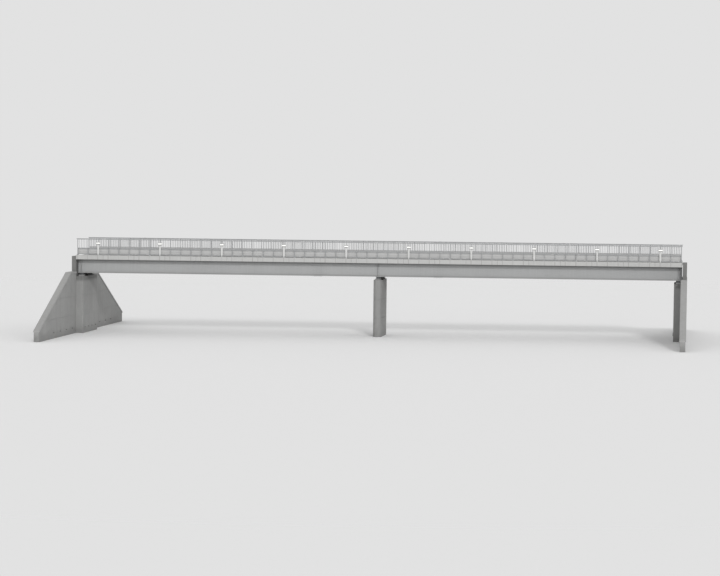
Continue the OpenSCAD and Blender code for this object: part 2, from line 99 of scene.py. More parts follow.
@dataclass(frozen=True)
class Bridge:
    """Main sizes of the bridge, as the part's source has them."""

    skew: float = math.radians(6)
    span: float = 14.5
    end_margin: float = 0.06
    bay: float = 0.5
    bays: int = 29
    half_w: float = 1.125
    edge_w: float = 0.175
    girder_y: float = 0.75
    web_t: float = 0.009
    frames: int = 7
    shelf_d: float = 0.4
    joint_gap: float = 0.02
    z_plinth: float = 2.8
    headroom: float = 2.9
    z_web: float = 2.924
    z_flange_under: float = 3.535
    z_flange: float = 3.55
    z_slab: float = 3.575
    z_way: float = 3.71
    z_edge: float = 3.77
    z_lamp: float = 4.35
    parapet_h: float = 0.8
    foot_t: float = 0.01
    post_w: float = 0.03
    post_d: float = 0.044
    rail_d: float = 0.03
    rail_h: float = 0.036
    top_rail_h: float = 0.04

    @property
    def deck_half_l(self) -> float:
        """Half the length of the deck."""
        return self.span + self.end_margin

    @property
    def face_x(self) -> float:
        """Distance along the deck from its middle to an abutment's front."""
        return self.deck_half_l - (self.shelf_d - self.joint_gap) / math.cos(self.skew)

    @property
    def bearing_x(self) -> float:
        """Distance along the deck from its middle to an abutment's bearings."""
        return self.face_x + self.shelf_d / 2 / math.cos(self.skew)

    @property
    def frame_pitch(self) -> float:
        """Distance along the deck from one cross frame to the next."""
        return self.bearing_x / (self.frames + 1)

    @property
    def edge_in(self) -> float:
        """Distance from the deck's middle line to the edge beams."""
        return self.half_w - self.edge_w

    @property
    def post_y(self) -> float:
        """Distance from the deck's middle line to the posts' middle."""
        return self.half_w - self.edge_w / 2

    @property
    def rail_y(self) -> float:
        """Distance from the deck's middle line to the lower rails' middle."""
        return self.post_y - self.post_d / 2 - self.rail_d / 2

    @property
    def panel_y(self) -> float:
        """Distance from the deck's middle line to the panels' back."""
        return self.rail_y - self.rail_d / 2

    @property
    def top_rail_w(self) -> float:
        """Width of the top rail, which covers a post and a lower rail."""
        return self.post_d + self.rail_d

    @property
    def top_rail_y(self) -> float:
        """Distance from the deck's middle line to the top rail's middle."""
        return self.post_y + self.post_d / 2 - self.top_rail_w / 2

    @property
    def z_rail(self) -> float:
        """Height of the top rail's underside."""
        return self.z_edge + self.parapet_h - self.top_rail_h

    def shift(self, y: float) -> float:
        """Distance that a line of support has moved along the deck at a place across it."""
        return y * math.tan(self.skew)

    def on_line(self, x: float) -> Matrix:
        """Place of a line of support.

        Args:
            x: Where the line crosses the deck's middle line.

        Returns:
            A matrix that moves to the line and turns by the skew.
        """
        return Matrix.Translation((x, 0, 0)) @ Matrix.Rotation(-self.skew, 4, "Z")

    def at_girders(self, *places: float) -> list[Matrix]:
        """Places on both girders, level with lines of support.

        Args:
            *places: Where those lines cross the deck's middle line.

        Returns:
            Matrices that move along the deck and across it.
        """
        lines = [side.value * self.girder_y for side in Side]
        return [Matrix.Translation((x + self.shift(y), y, 0)) for y in lines for x in places]

    def mid_bays(self, every: int) -> list[float]:
        """Places half way between two posts, at every so many bays.

        Args:
            every: Number of bays from one place to the next.

        Returns:
            Places along the deck, on both sides of its middle.
        """
        steps = range(every, self.bays, every)
        return sorted(end.value * (i - 0.5) * self.bay for end in End for i in steps)


BRIDGE = Bridge()


class Pattern:
    """A value that changes over a surface. A sum with it becomes a node of its bench."""

    def __init__(self, bench: "NodeBench", socket: Socket) -> None:
        """Takes the output of one of the bench's nodes."""
        self.bench = bench
        self.socket = socket

    def __add__(self, other: "Value") -> "Pattern":
        """Adds a value."""
        return self.bench.sum("ADD", self, other)

    def __sub__(self, other: "Value") -> "Pattern":
        """Takes a value away."""
        return self.bench.sum("SUBTRACT", self, other)

    def __mul__(self, other: "Value") -> "Pattern":
        """Multiplies by a value."""
        return self.bench.sum("MULTIPLY", self, other)

    def __pow__(self, power: float) -> "Pattern":
        """Raises to a power."""
        return self.bench.sum("POWER", self, power)

    def __abs__(self) -> "Pattern":
        """Drops the sign."""
        return self.bench.sum("ABSOLUTE", self)

    def sign(self) -> "Pattern":
        """Gives 1 above zero and -1 below it."""
        return self.bench.sum("SIGN", self)

    def root(self) -> "Pattern":
        """Takes the square root."""
        return self.bench.sum("SQRT", self)

    def over(self, limit: float) -> "Pattern":
        """Gives 1 above a limit and 0 elsewhere."""
        return self.bench.sum("GREATER_THAN", self, limit)

    def most(self, other: "Value") -> "Pattern":
        """Gives the greater of two values."""
        return self.bench.sum("MAXIMUM", self, other)

    def zigzag(self, top: float) -> "Pattern":
        """Runs up and down between 0 and a top value."""
        return self.bench.sum("PINGPONG", self, top)

    def ease(self, low: float, high: float, first: float, last: float) -> "Pattern":
        """Turns smoothly from one level to another while this value grows.

        Args:
            low: Value at which the turn begins.
            high: Value at which it ends.
            first: Level below it.
            last: Level above it.

        Returns:
            The level.
        """
        node = self.bench.add("MapRange", self, low, high, first, last)
        node.interpolation_type = "SMOOTHSTEP"
        return Pattern(self.bench, node.outputs[0])

    def lines(self, pitch: float, width: float) -> "Pattern":
        """Mask of thin lines across this coordinate.

        Args:
            pitch: Distance between two lines.
            width: Half the width of a line, with its soft edge.

        Returns:
            1 on a line and 0 elsewhere.
        """
        return self.zigzag(pitch / 2).ease(0, width, 1, 0)

    def dots(self, other: "Pattern", pitch: tuple[float, float], radius: float) -> "Pattern":
        """Mask of round dots on a grid of this coordinate and another.

        Args:
            other: The other coordinate.
            pitch: Distances between two dots, along each of them.
            radius: Radius of a dot.

        Returns:
            1 in a dot and 0 elsewhere.
        """
        half, other_half = pitch[0] / 2, pitch[1] / 2
        away, other_away = (self + half).zigzag(half), (other + other_half).zigzag(other_half)
        return (away**2 + other_away**2).root().ease(radius * 0.75, radius, 1, 0)


Value = float | Pattern
Input = Value | Socket | Colour


class NodeBench:
    """Lays out the nodes of a material or of the world, and wires them."""

    def __init__(self, tree: bpy.types.NodeTree) -> None:
        """Takes the tree that the nodes stand in."""
        self.nodes = tree.nodes
        self.links = tree.links

    def feed(self, socket: Socket, value: Input) -> None:
        """Links a socket to a value, or sets it.

        Args:
            socket: Input that takes the value.
            value: A pattern, another node's output, a number, a colour or a vector.
        """
        if isinstance(value, Pattern):
            value = value.socket
        if isinstance(value, bpy.types.NodeSocket):
            self.links.new(value, socket)
        elif socket.type == "RGBA":
            socket.default_value = (*value, 1.0)
        else:
            socket.default_value = value

    def add(self, kind: str, *values: Input, **named: Input) -> bpy.types.Node:
        """Adds a node and feeds its inputs.

        Args:
            kind: Type of the node, without the prefix that all types share.
            *values: Values of its first inputs, in order.
            **named: Values of other inputs, by their names.

        Returns:
            The node.
        """
        node = self.nodes.new("ShaderNode" + kind)
        for socket, value in zip(node.inputs, values):
            self.feed(socket, value)
        for name, value in named.items():
            self.feed(node.inputs[name], value)
        return node

    def sum(self, how: str, a: Value, b: Value = 0.0) -> Pattern:
        """Works out one sum.

        Args:
            how: Type of the sum, such as ADD.
            a: First value.
            b: Second value.

        Returns:
            The result.
        """
        node = self.add("Math", a, b)
        node.operation = how
        return Pattern(self, node.outputs[0])


class ShaderBench(NodeBench):
    """Lays out the nodes of one material and wires them to its principled shader."""

    def __init__(self, name: str, roughness: float, metallic: float = 0.0) -> None:
        """Starts a material.

        Args:
            name: Name of the material.
            roughness: Roughness, the same all over unless a pattern replaces it.
            metallic: Share of bare metal.
        """
        self.material = bpy.data.materials.new(name)
        self.material.use_nodes = True
        super().__init__(self.material.node_tree)
        self.shader = self.nodes["Principled BSDF"]
        self.set("Roughness", roughness)
        self.set("Metallic", metallic)
        self.place = self.add("TexCoord").outputs["Object"]

    def set(self, name: str, value: Input) -> None:
        """Feeds an input of the principled shader."""
        self.feed(self.shader.inputs[name], value)

    def split(self, vector: Socket, turn: float) -> tuple[Pattern, ...]:
        """Turns a vector about the vertical and gives its three parts.

        Args:
            vector: The vector output.
            turn: Angle in radians.

        Returns:
            The X, Y and Z parts.
        """
        turned = self.add("Mapping", Vector=vector, Rotation=(0, 0, turn)).outputs[0]
        return tuple(Pattern(self, part) for part in self.add("SeparateXYZ", turned).outputs)

    def axes(self, turn: float = 0.0) -> tuple[Pattern, ...]:
        """The three object coordinates, turned about the vertical."""
        return self.split(self.place, turn)

    def facing(self, turn: float = 0.0) -> tuple[Pattern, ...]:
        """How much a surface faces along each turned axis, from -1 to 1."""
        return self.split(self.add("NewGeometry").outputs["Normal"], turn)

    def facing_up(self) -> Pattern:
        """How much a surface faces upwards, from -1 to 1."""
        return self.facing()[2]

    def noise(self, scale: float, detail: float, stretch: Point = (1, 1, 1)) -> Pattern:
        """Cloudy pattern from 0 to 1.

        Args:
            scale: Number of clouds a metre.
            detail: How many finer layers it has.
            stretch: Factor on each axis; a small one draws the clouds out along it.

        Returns:
            The pattern.
        """
        place = self.add("Mapping", Vector=self.place, Scale=stretch).outputs[0]
        node = self.add("TexNoise", Vector=place, Scale=scale, Detail=detail, Roughness=0.6)
        return Pattern(self, node.outputs[0])

    def cells(self, scale: float) -> tuple[Pattern, Pattern]:
        """Grains or spangles.

        Args:
            scale: Number of cells a metre.

        Returns:
            The distance from a cell's middle, and a random value for each cell.
        """
        node = self.add("TexVoronoi", Vector=self.place, Scale=scale)
        own = self.add("SeparateXYZ", node.outputs["Color"])
        return Pattern(self, node.outputs["Distance"]), Pattern(self, own.outputs[0])

    def mix(self, factor: Value, a: Input, b: Input, how: str = "MIX") -> Socket:
        """Mixes two colours.

        Args:
            factor: Share of the second colour.
            a: First colour.
            b: Second colour.
            how: Type of the blend.

        Returns:
            The mixed colour.
        """
        node = self.add("Mix", factor)
        node.data_type = "RGBA"
        node.blend_type = how
        self.feed(node.inputs[6], a)
        self.feed(node.inputs[7], b)
        return node.outputs[2]

    def tone(self, colour: Colour, *layers: tuple[Pattern, float]) -> Socket:
        """Makes a colour lighter and darker by patterns.

        Args:
            colour: Colour to start from.
            *layers: Pairs of a pattern from 0 to 1 and the whole swing that it gives.

        Returns:
            The toned colour.
        """
        level: Value = 1.0
        for pattern, swing in layers:
            level = (pattern - 0.5) * swing + level
        return self.mix(1.0, colour, level, "MULTIPLY")

    def finish(self, colour: Input, height: Pattern, depth: float) -> bpy.types.Material:
        """Wires the colour and the relief.

        Args:
            colour: Base colour.
            height: Relief from 0 to 1.
            depth: Depth of the relief in metres.

        Returns:
            The finished material.
        """
        self.set("Base Color", colour)
        bump = self.add("Bump", Strength=0.7, Distance=depth, Height=height)
        self.set("Normal", bump.outputs["Normal"])
        return self.material


_MADE: dict[str, bpy.types.Material] = {}


@dataclass(frozen=True)
class Finish:
    """A surface finish and the record's slot that it belongs to."""

    name: str
    slot: str
    colour: Colour
    roughness: float

    def paint(self) -> bpy.types.Material:
        """Makes this finish's material."""
        raise NotImplementedError

    def material(self) -> bpy.types.Material:
        """Gives this finish's material, which is made at its first use."""
        if self.name not in _MADE:
            _MADE[self.name] = self.paint()
        return _MADE[self.name]


@dataclass(frozen=True)
class CastConcrete(Finish):
    """Concrete cast in place, with shutter joints, tie holes, rain streaks and a damp foot.

    Below a movement joint, painted shade drawn as dirt also runs down from the crown, least on the side
    away from the deck; it stands in for the shade of the deck's end and the bearing shelf.
    """

    panel: float = 1.2
    lift: float = 0.9
    board: float = 0.0
    damp: float = 0.45
    streaks: float = 0.26
    turn: float = BRIDGE.skew
    end_on: float = 0.45
    # Crown, strength and run of painted shade drawn as dirt below a movement joint; a crown of 0 leaves
    # it out.
    crown: float = 0.0
    dirt_and_shade: float = 0.68
    dirt_and_shade_run: float = 0.3
    mark_colour: Colour = (0.12, 0.12, 0.12)
    damp_colour: Colour = (0.14, 0.14, 0.135)
    soot_and_shade_colour: Colour = (0.17, 0.17, 0.16)
    dirt_and_shade_colour: Colour = (0.13, 0.13, 0.125)

    def paint(self) -> bpy.types.Material:
        """Makes this finish's material."""
        bench = ShaderBench(self.name, self.roughness)
        cloud = bench.noise(0.8, 5.0)
        patch = bench.noise(3.1, 4.0)
        grain = bench.noise(55.0, 3.0)
        run = bench.noise(1.0, 4.0, stretch=(9.0, 9.0, 0.4))
        colour = bench.tone(
            self.colour, (cloud, 0.3), (patch, 0.16), (grain, 0.1), (run, self.streaks)
        )
        marks = self.marks(bench)
        colour = bench.mix(marks * 0.42, colour, self.mark_colour)
        foot = bench.axes()[2] + (patch - 0.5) * 0.5
        wet = foot.ease(0.02, 0.5, self.damp, 0.0)
        colour = bench.mix(wet, colour, self.damp_colour)
        # Dirt on faces that point up.
        soot_and_shade = bench.facing_up().ease(0.3, 0.8, 0.0, 0.3)
        colour = bench.mix(soot_and_shade * patch, colour, self.soot_and_shade_colour)
        # Painted shade of the bearing shelf and the deck's end, drawn as dirt that runs down from the
        # crown.
        if self.crown:
            colour = bench.mix(self.crown_dirt_and_shade(bench, run), colour, self.dirt_and_shade_colour)
        bench.set("Roughness", wet.ease(0.0, 0.5, self.roughness, 0.62))
        return bench.finish(colour, grain * 0.25 - marks, 0.004)

    def marks(self, bench: ShaderBench) -> Pattern:
        """Lays out the shutters' joints, tie holes, board lines and pores.

        Args:
            bench: Bench of this finish's material.

        Returns:
            1 on a mark and 0 elsewhere. The upright lines follow the length of each face.
        """
        across, side, up = bench.axes(self.turn)
        end_face = abs(bench.facing(self.turn)[1]).over(self.end_on)
        along = side + end_face * (across + self.panel / 2 - side)
        marks = along.lines(self.panel, 0.007)
        marks = marks.most(along.dots(up, (self.panel / 2, self.lift / 2), 0.014))
        if self.board:
            marks = marks.most(along.lines(self.board, 0.004))
        pores = bench.cells(42.0)[0].ease(0.09, 0.2, 1, 0)
        return marks.most(pores * 0.5)

    def crown_dirt_and_shade(self, bench: ShaderBench, run: Pattern) -> Pattern:
        """Lays out the painted shade, drawn as dirt, that runs down from the crown.

        Args:
            bench: Bench of this finish's material.
            run: Pattern of upright streaks.

        Returns:
            Share of painted shade and dirt, which is less on the faces that point away from the deck.
        """
        across, _, up = bench.axes(self.turn)
        outward = across.sign() * bench.facing(self.turn)[0]
        low = self.crown - self.dirt_and_shade_run
        dirt_and_shade = up.ease(low, low + self.dirt_and_shade_run / 2, 0.0, self.dirt_and_shade)
        return dirt_and_shade * run.ease(0.25, 0.6, 0.7, 1.0) * outward.ease(0.3, 0.8, 1.0, 0.2)


@dataclass(frozen=True)
class Precast(Finish):
    """Smooth precast concrete with pale bloom and dirty runs below the parapet's posts."""

    runs: float = 0.5
    run_colour: Colour = (0.2, 0.19, 0.18)
    pore_colour: Colour = (0.2, 0.2, 0.2)
    lichen_colour: Colour = (0.28, 0.28, 0.26)

    def paint(self) -> bpy.types.Material:
        """Makes this finish's material."""
        bench = ShaderBench(self.name, self.roughness)
        across, side, _ = bench.axes()
        cloud = bench.noise(1.3, 4.0)
        patch = bench.noise(7.0, 4.0)
        grain = bench.noise(80.0, 2.0)
        streak = bench.noise(1.0, 3.0, stretch=(26.0, 26.0, 0.8))
        colour = bench.tone(self.colour, (cloud, 0.16), (patch, 0.12), (grain, 0.08), (streak, 0.1))
        below_post = (across - side * math.tan(BRIDGE.skew)).lines(BRIDGE.bay, 0.035)
        run = below_post * streak.ease(0.35, 0.6, 0, self.runs)
        colour = bench.mix(run, colour, self.run_colour)
        pores = bench.cells(70.0)[0].ease(0.06, 0.14, 0.4, 0)
        colour = bench.mix(pores * 0.5, colour, self.pore_colour)
        lichen = bench.facing_up().ease(0.4, 0.9, 0, 1) * patch.ease(0.45, 0.65, 0, 0.35)
        colour = bench.mix(lichen, colour, self.lichen_colour)
        return bench.finish(colour, grain * 0.4 - pores, 0.0015)


@dataclass(frozen=True)
class Asphalt(Finish):
    """Rolled surfacing: dark binder with grains of stone, worn paler along its middle."""

    worn_colour: Colour = (0.36, 0.36, 0.35)
    dirt_and_shade_colour: Colour = (0.13, 0.13, 0.12)

    def paint(self) -> bpy.types.Material:
        """Makes this finish's material."""
        bench = ShaderBench(self.name, self.roughness)
        away = abs(bench.axes()[1])
        far, stone = bench.cells(120.0)
        cloud = bench.noise(0.7, 4.0)
        dust = bench.noise(6.0, 5.0)
        colour = bench.tone(self.colour, (stone, 0.7), (cloud, 0.25), (dust, 0.3))
        colour = bench.mix(away.ease(0.2, 0.75, 0.22, 0.0), colour, self.worn_colour)
        colour = bench.mix(away.ease(0.8, 0.94, 0.0, 0.5) * dust, colour, self.dirt_and_shade_colour)
        return bench.finish(colour, far.ease(0.1, 0.6, 1, 0), 0.003)


@dataclass(frozen=True)
class BridgePaint(Finish):
    """Thick site paint with dull runs, dirt on the ledges, a few rusty specks and a painted shade band
    at the top of the web, under the slab's overhang.
    """

    rust: float = 0.6
    ledge: float = 0.0
    # Height of the top of a painted shade band on the web, where the slab's overhang shades it; 0 leaves
    # it out.
    soot_and_shade: float = 0.0
    fine: float = 1.0
    rust_colour: Colour = (0.2, 0.16, 0.13)
    dust_colour: Colour = (0.26, 0.25, 0.24)
    ledge_colour: Colour = (0.2, 0.19, 0.18)
    soot_and_shade_colour: Colour = (0.09, 0.09, 0.088)

    def paint(self) -> bpy.types.Material:
        """Makes this finish's material."""
        bench = ShaderBench(self.name, self.roughness)
        up = bench.axes()[2]
        cloud = bench.noise(0.9, 4.0)
        peel = bench.noise(150.0 * self.fine, 2.0)
        run = bench.noise(1.0, 4.0, stretch=(12.0, 12.0, 0.7))
        colour = bench.tone(self.colour, (cloud, 0.14), (run, 0.16), (peel, 0.04))
        rusty = bench.noise(24.0 * self.fine, 5.0).ease(0.66, 0.74, 0.0, self.rust)
        colour = bench.mix(rusty, colour, self.rust_colour)
        dust = bench.facing_up().ease(0.3, 0.8, 0, 0.55) * run.ease(0.3, 0.6, 0.5, 1)
        colour = bench.mix(dust, colour, self.dust_colour)
        if self.ledge:
            low = up.ease(self.ledge, self.ledge + 0.07, 0.4, 0.0)
            colour = bench.mix(low * run, colour, self.ledge_colour)
        # Painted shade: a dark band at the top of the web, below the slab's overhang.
        if self.soot_and_shade:
            shade = up.ease(self.soot_and_shade - 0.12, self.soot_and_shade - 0.03, 0.0, 0.5)
            colour = bench.mix(shade, colour, self.soot_and_shade_colour)
        bench.set("Roughness", rusty.ease(0.0, 0.6, self.roughness, 0.85))
        return bench.finish(colour, peel * 0.4 + rusty * 0.6, 0.0008)


@dataclass(frozen=True)
class HotDipZinc(Finish):
    """Galvanised steel: fine spangle, dull patches and pale bloom."""

    metallic: float = 0.45
    bloom_colour: Colour = (0.78, 0.78, 0.77)

    def paint(self) -> bpy.types.Material:
        """Makes this finish's material."""
        bench = ShaderBench(self.name, self.roughness, self.metallic)
        spangle = bench.cells(130.0)[1]
        cloud = bench.noise(2.2, 4.0)
        bloom = bench.noise(9.0, 5.0).ease(0.55, 0.7, 0.0, 0.4)
        colour = bench.tone(self.colour, (spangle, 0.16), (cloud, 0.18))
        colour = bench.mix(bloom, colour, self.bloom_colour)
        bench.set("Roughness", spangle.ease(0.0, 1.0, self.roughness - 0.08, self.roughness + 0.14))
        return bench.finish(colour, spangle, 0.0004)


@dataclass(frozen=True)
class CoatedSheet(Finish):
    """Painted sheet of the panels, with dirt that gathers low and thin rain runs."""

    dirt_and_shade_colour: Colour = (0.3, 0.29, 0.28)
    chip_colour: Colour = (0.34, 0.32, 0.3)

    def paint(self) -> bpy.types.Material:
        """Makes this finish's material."""
        bench = ShaderBench(self.name, self.roughness)
        cloud = bench.noise(1.6, 4.0)
        run = bench.noise(1.0, 4.0, stretch=(30.0, 30.0, 1.2))
        peel = bench.noise(180.0, 2.0)
        colour = bench.tone(self.colour, (cloud, 0.12), (run, 0.16), (peel, 0.03))
        low = bench.axes()[2].ease(BRIDGE.z_edge + 0.04, BRIDGE.z_edge + 0.2, 0.45, 0.0)
        colour = bench.mix(low * run, colour, self.dirt_and_shade_colour)
        chips = bench.noise(35.0, 5.0).ease(0.68, 0.74, 0.0, 0.5)
        colour = bench.mix(chips, colour, self.chip_colour)
        return bench.finish(colour, peel - chips, 0.0005)


@dataclass(frozen=True)
class Elastic(Finish):
    """Rubber, mastic or black pipe: dark, matt and dusty on top."""

    dust: float = 0.5
    dust_colour: Colour = (0.3, 0.3, 0.29)

    def paint(self) -> bpy.types.Material:
        """Makes this finish's material."""
        bench = ShaderBench(self.name, self.roughness)
        grain = bench.noise(160.0, 3.0)
        cloud = bench.noise(5.0, 4.0)
        colour = bench.tone(self.colour, (grain, 0.3), (cloud, 0.4))
        film = bench.facing_up().ease(0.2, 0.9, 0.1, self.dust) * cloud
        return bench.finish(bench.mix(film, colour, self.dust_colour), grain, 0.0006)


@dataclass(frozen=True)
class LitGlass(Finish):
    """Ribbed lens over a lit lamp, brightest at its middle."""

    strength: float = 0.8
    rib_pitch: float = 0.012
    rib_half_w: float = 0.004
    lit_colour: Colour = (1.0, 0.99, 0.97)
    dim_colour: Colour = (0.2, 0.2, 0.19)
    shade_colour: Colour = (0.35, 0.35, 0.34)

    def paint(self) -> bpy.types.Material:
        """Makes this finish's material."""
        bench = ShaderBench(self.name, self.roughness)
        up = bench.axes()[2]
        edge = abs(up - BRIDGE.z_lamp).ease(0.01, 0.042, 0.0, 1.0)
        ribs = up.lines(self.rib_pitch, self.rib_half_w)
        shade = edge.most(ribs * 0.8)
        bench.set("Emission Color", bench.mix(shade, self.lit_colour, self.dim_colour))
        bench.set("Emission Strength", self.strength)
        glass = bench.mix(shade * 0.7, self.colour, self.shade_colour)
        return bench.finish(glass, ribs + bench.noise(220.0, 2.0) * 0.2, 0.001)


WALL = CastConcrete("wall_concrete", "wall_concrete", (0.33, 0.33, 0.325), 0.88)
# The back and front walls carry painted shade below their crown, drawn as dirt runs.
BACK = CastConcrete(
    "back_concrete", "wall_concrete", WALL.colour, 0.88, crown=BRIDGE.z_way, dirt_and_shade_run=1.6
)
FRONT = CastConcrete(
    "front_concrete", "wall_concrete", WALL.colour, 0.88, crown=BRIDGE.z_plinth, dirt_and_shade_run=0.35
)
PIER = CastConcrete(
    "pier_concrete", "pier_concrete", (0.3, 0.3, 0.295), 0.86, panel=0.9, board=0.075, damp=0.35
)
SLAB = CastConcrete(
    "deck_concrete", "deck_concrete", (0.34, 0.34, 0.335), 0.88, board=0.12, damp=0.0, turn=0.0
)
CAST = Precast("precast_concrete", "precast_concrete", (0.52, 0.52, 0.51), 0.8)
# Darker than the other precast: painted shade along the wing walls' tops.
COPING = Precast("coping_concrete", "precast_concrete", (0.37, 0.37, 0.365), 0.84, runs=0.0)
WAY = Asphalt("surfacing", "surfacing", (0.16, 0.16, 0.165), 0.93)
# The girder paint's dark band just under z_flange is painted shade below the slab's overhang.
GIRDER = BridgePaint(
    "girder_paint", "girder_paint", (0.4, 0.405, 0.405), 0.5, ledge=BRIDGE.z_web, soot_and_shade=BRIDGE.z_flange
)
BOLT = BridgePaint("painted_bolts", "girder_paint", (0.36, 0.365, 0.365), 0.5, rust=0.8, fine=3.0)
BEARING = BridgePaint("bearing_steel", "bearing_steel", (0.13, 0.135, 0.14), 0.42, rust=0.7, fine=2.0)
ZINC = HotDipZinc("galvanised_steel", "galvanised_steel", (0.37, 0.375, 0.38), 0.5)
FIXING = HotDipZinc("zinc_fixings", "galvanised_steel", (0.33, 0.335, 0.34), 0.5, metallic=0.5)
SHEET = CoatedSheet("panel_steel", "panel_steel", (0.52, 0.52, 0.515), 0.45)
RUBBER = Elastic("joint_rubber", "joint_rubber", (0.06, 0.06, 0.06), 0.75)
MASTIC = Elastic("joint_mastic", "joint_rubber", (0.12, 0.12, 0.12), 0.6, dust=0.3)
LAMP = BridgePaint("lamp_grey", "lamp_grey", (0.66, 0.66, 0.65), 0.42, rust=0.2, fine=2.0)
LENS = LitGlass("lamp_lens", "lamp_lens", (0.9, 0.9, 0.87), 0.3)

FINISH_OF_SLOT: dict[str, Finish] = {
    finish.slot: finish
    for finish in (WALL, PIER, SLAB, CAST, WAY, GIRDER, BEARING, ZINC, SHEET, RUBBER, LAMP, LENS)
}

FINISH_OF_ENDING: dict[str, Finish] = {"coping": COPING, "back_wall": BACK, "front_wall": FRONT}


def facing(axis: Axis, where: Where = lambda middle: True) -> Test:
    """Test for faces that point up an axis.

    Args:
        axis: The axis.
        where: Test of a face's middle.

    Returns:
        The test for a pick.
    """
    return lambda middle, normal: normal[axis.value] > ALONG and where(middle)


def running(axis: Axis, where: Where = lambda middle: True) -> Test:
    """Test for edges that run along an axis, and for faces that point up or down it.

    Args:
        axis: The axis.
        where: Test of an edge's or a face's middle.

    Returns:
        The test for a pick.
    """
    return lambda middle, along: abs(along[axis.value]) > ALONG and where(middle)


def standing(place: Point, direction: Point) -> Matrix:
    """Place of a piece that stands on a point, with its top in a direction."""
    turn = Vector(direction).to_track_quat("Z", "Y").to_matrix().to_4x4()
    return Matrix.Translation(place) @ turn


def deselect_all() -> None:
    """Leaves edit mode and deselects every object."""
    if bpy.context.object is not None and bpy.context.object.mode != "OBJECT":
        bpy.ops.object.mode_set(mode="OBJECT")
    bpy.ops.object.select_all(action="DESELECT")


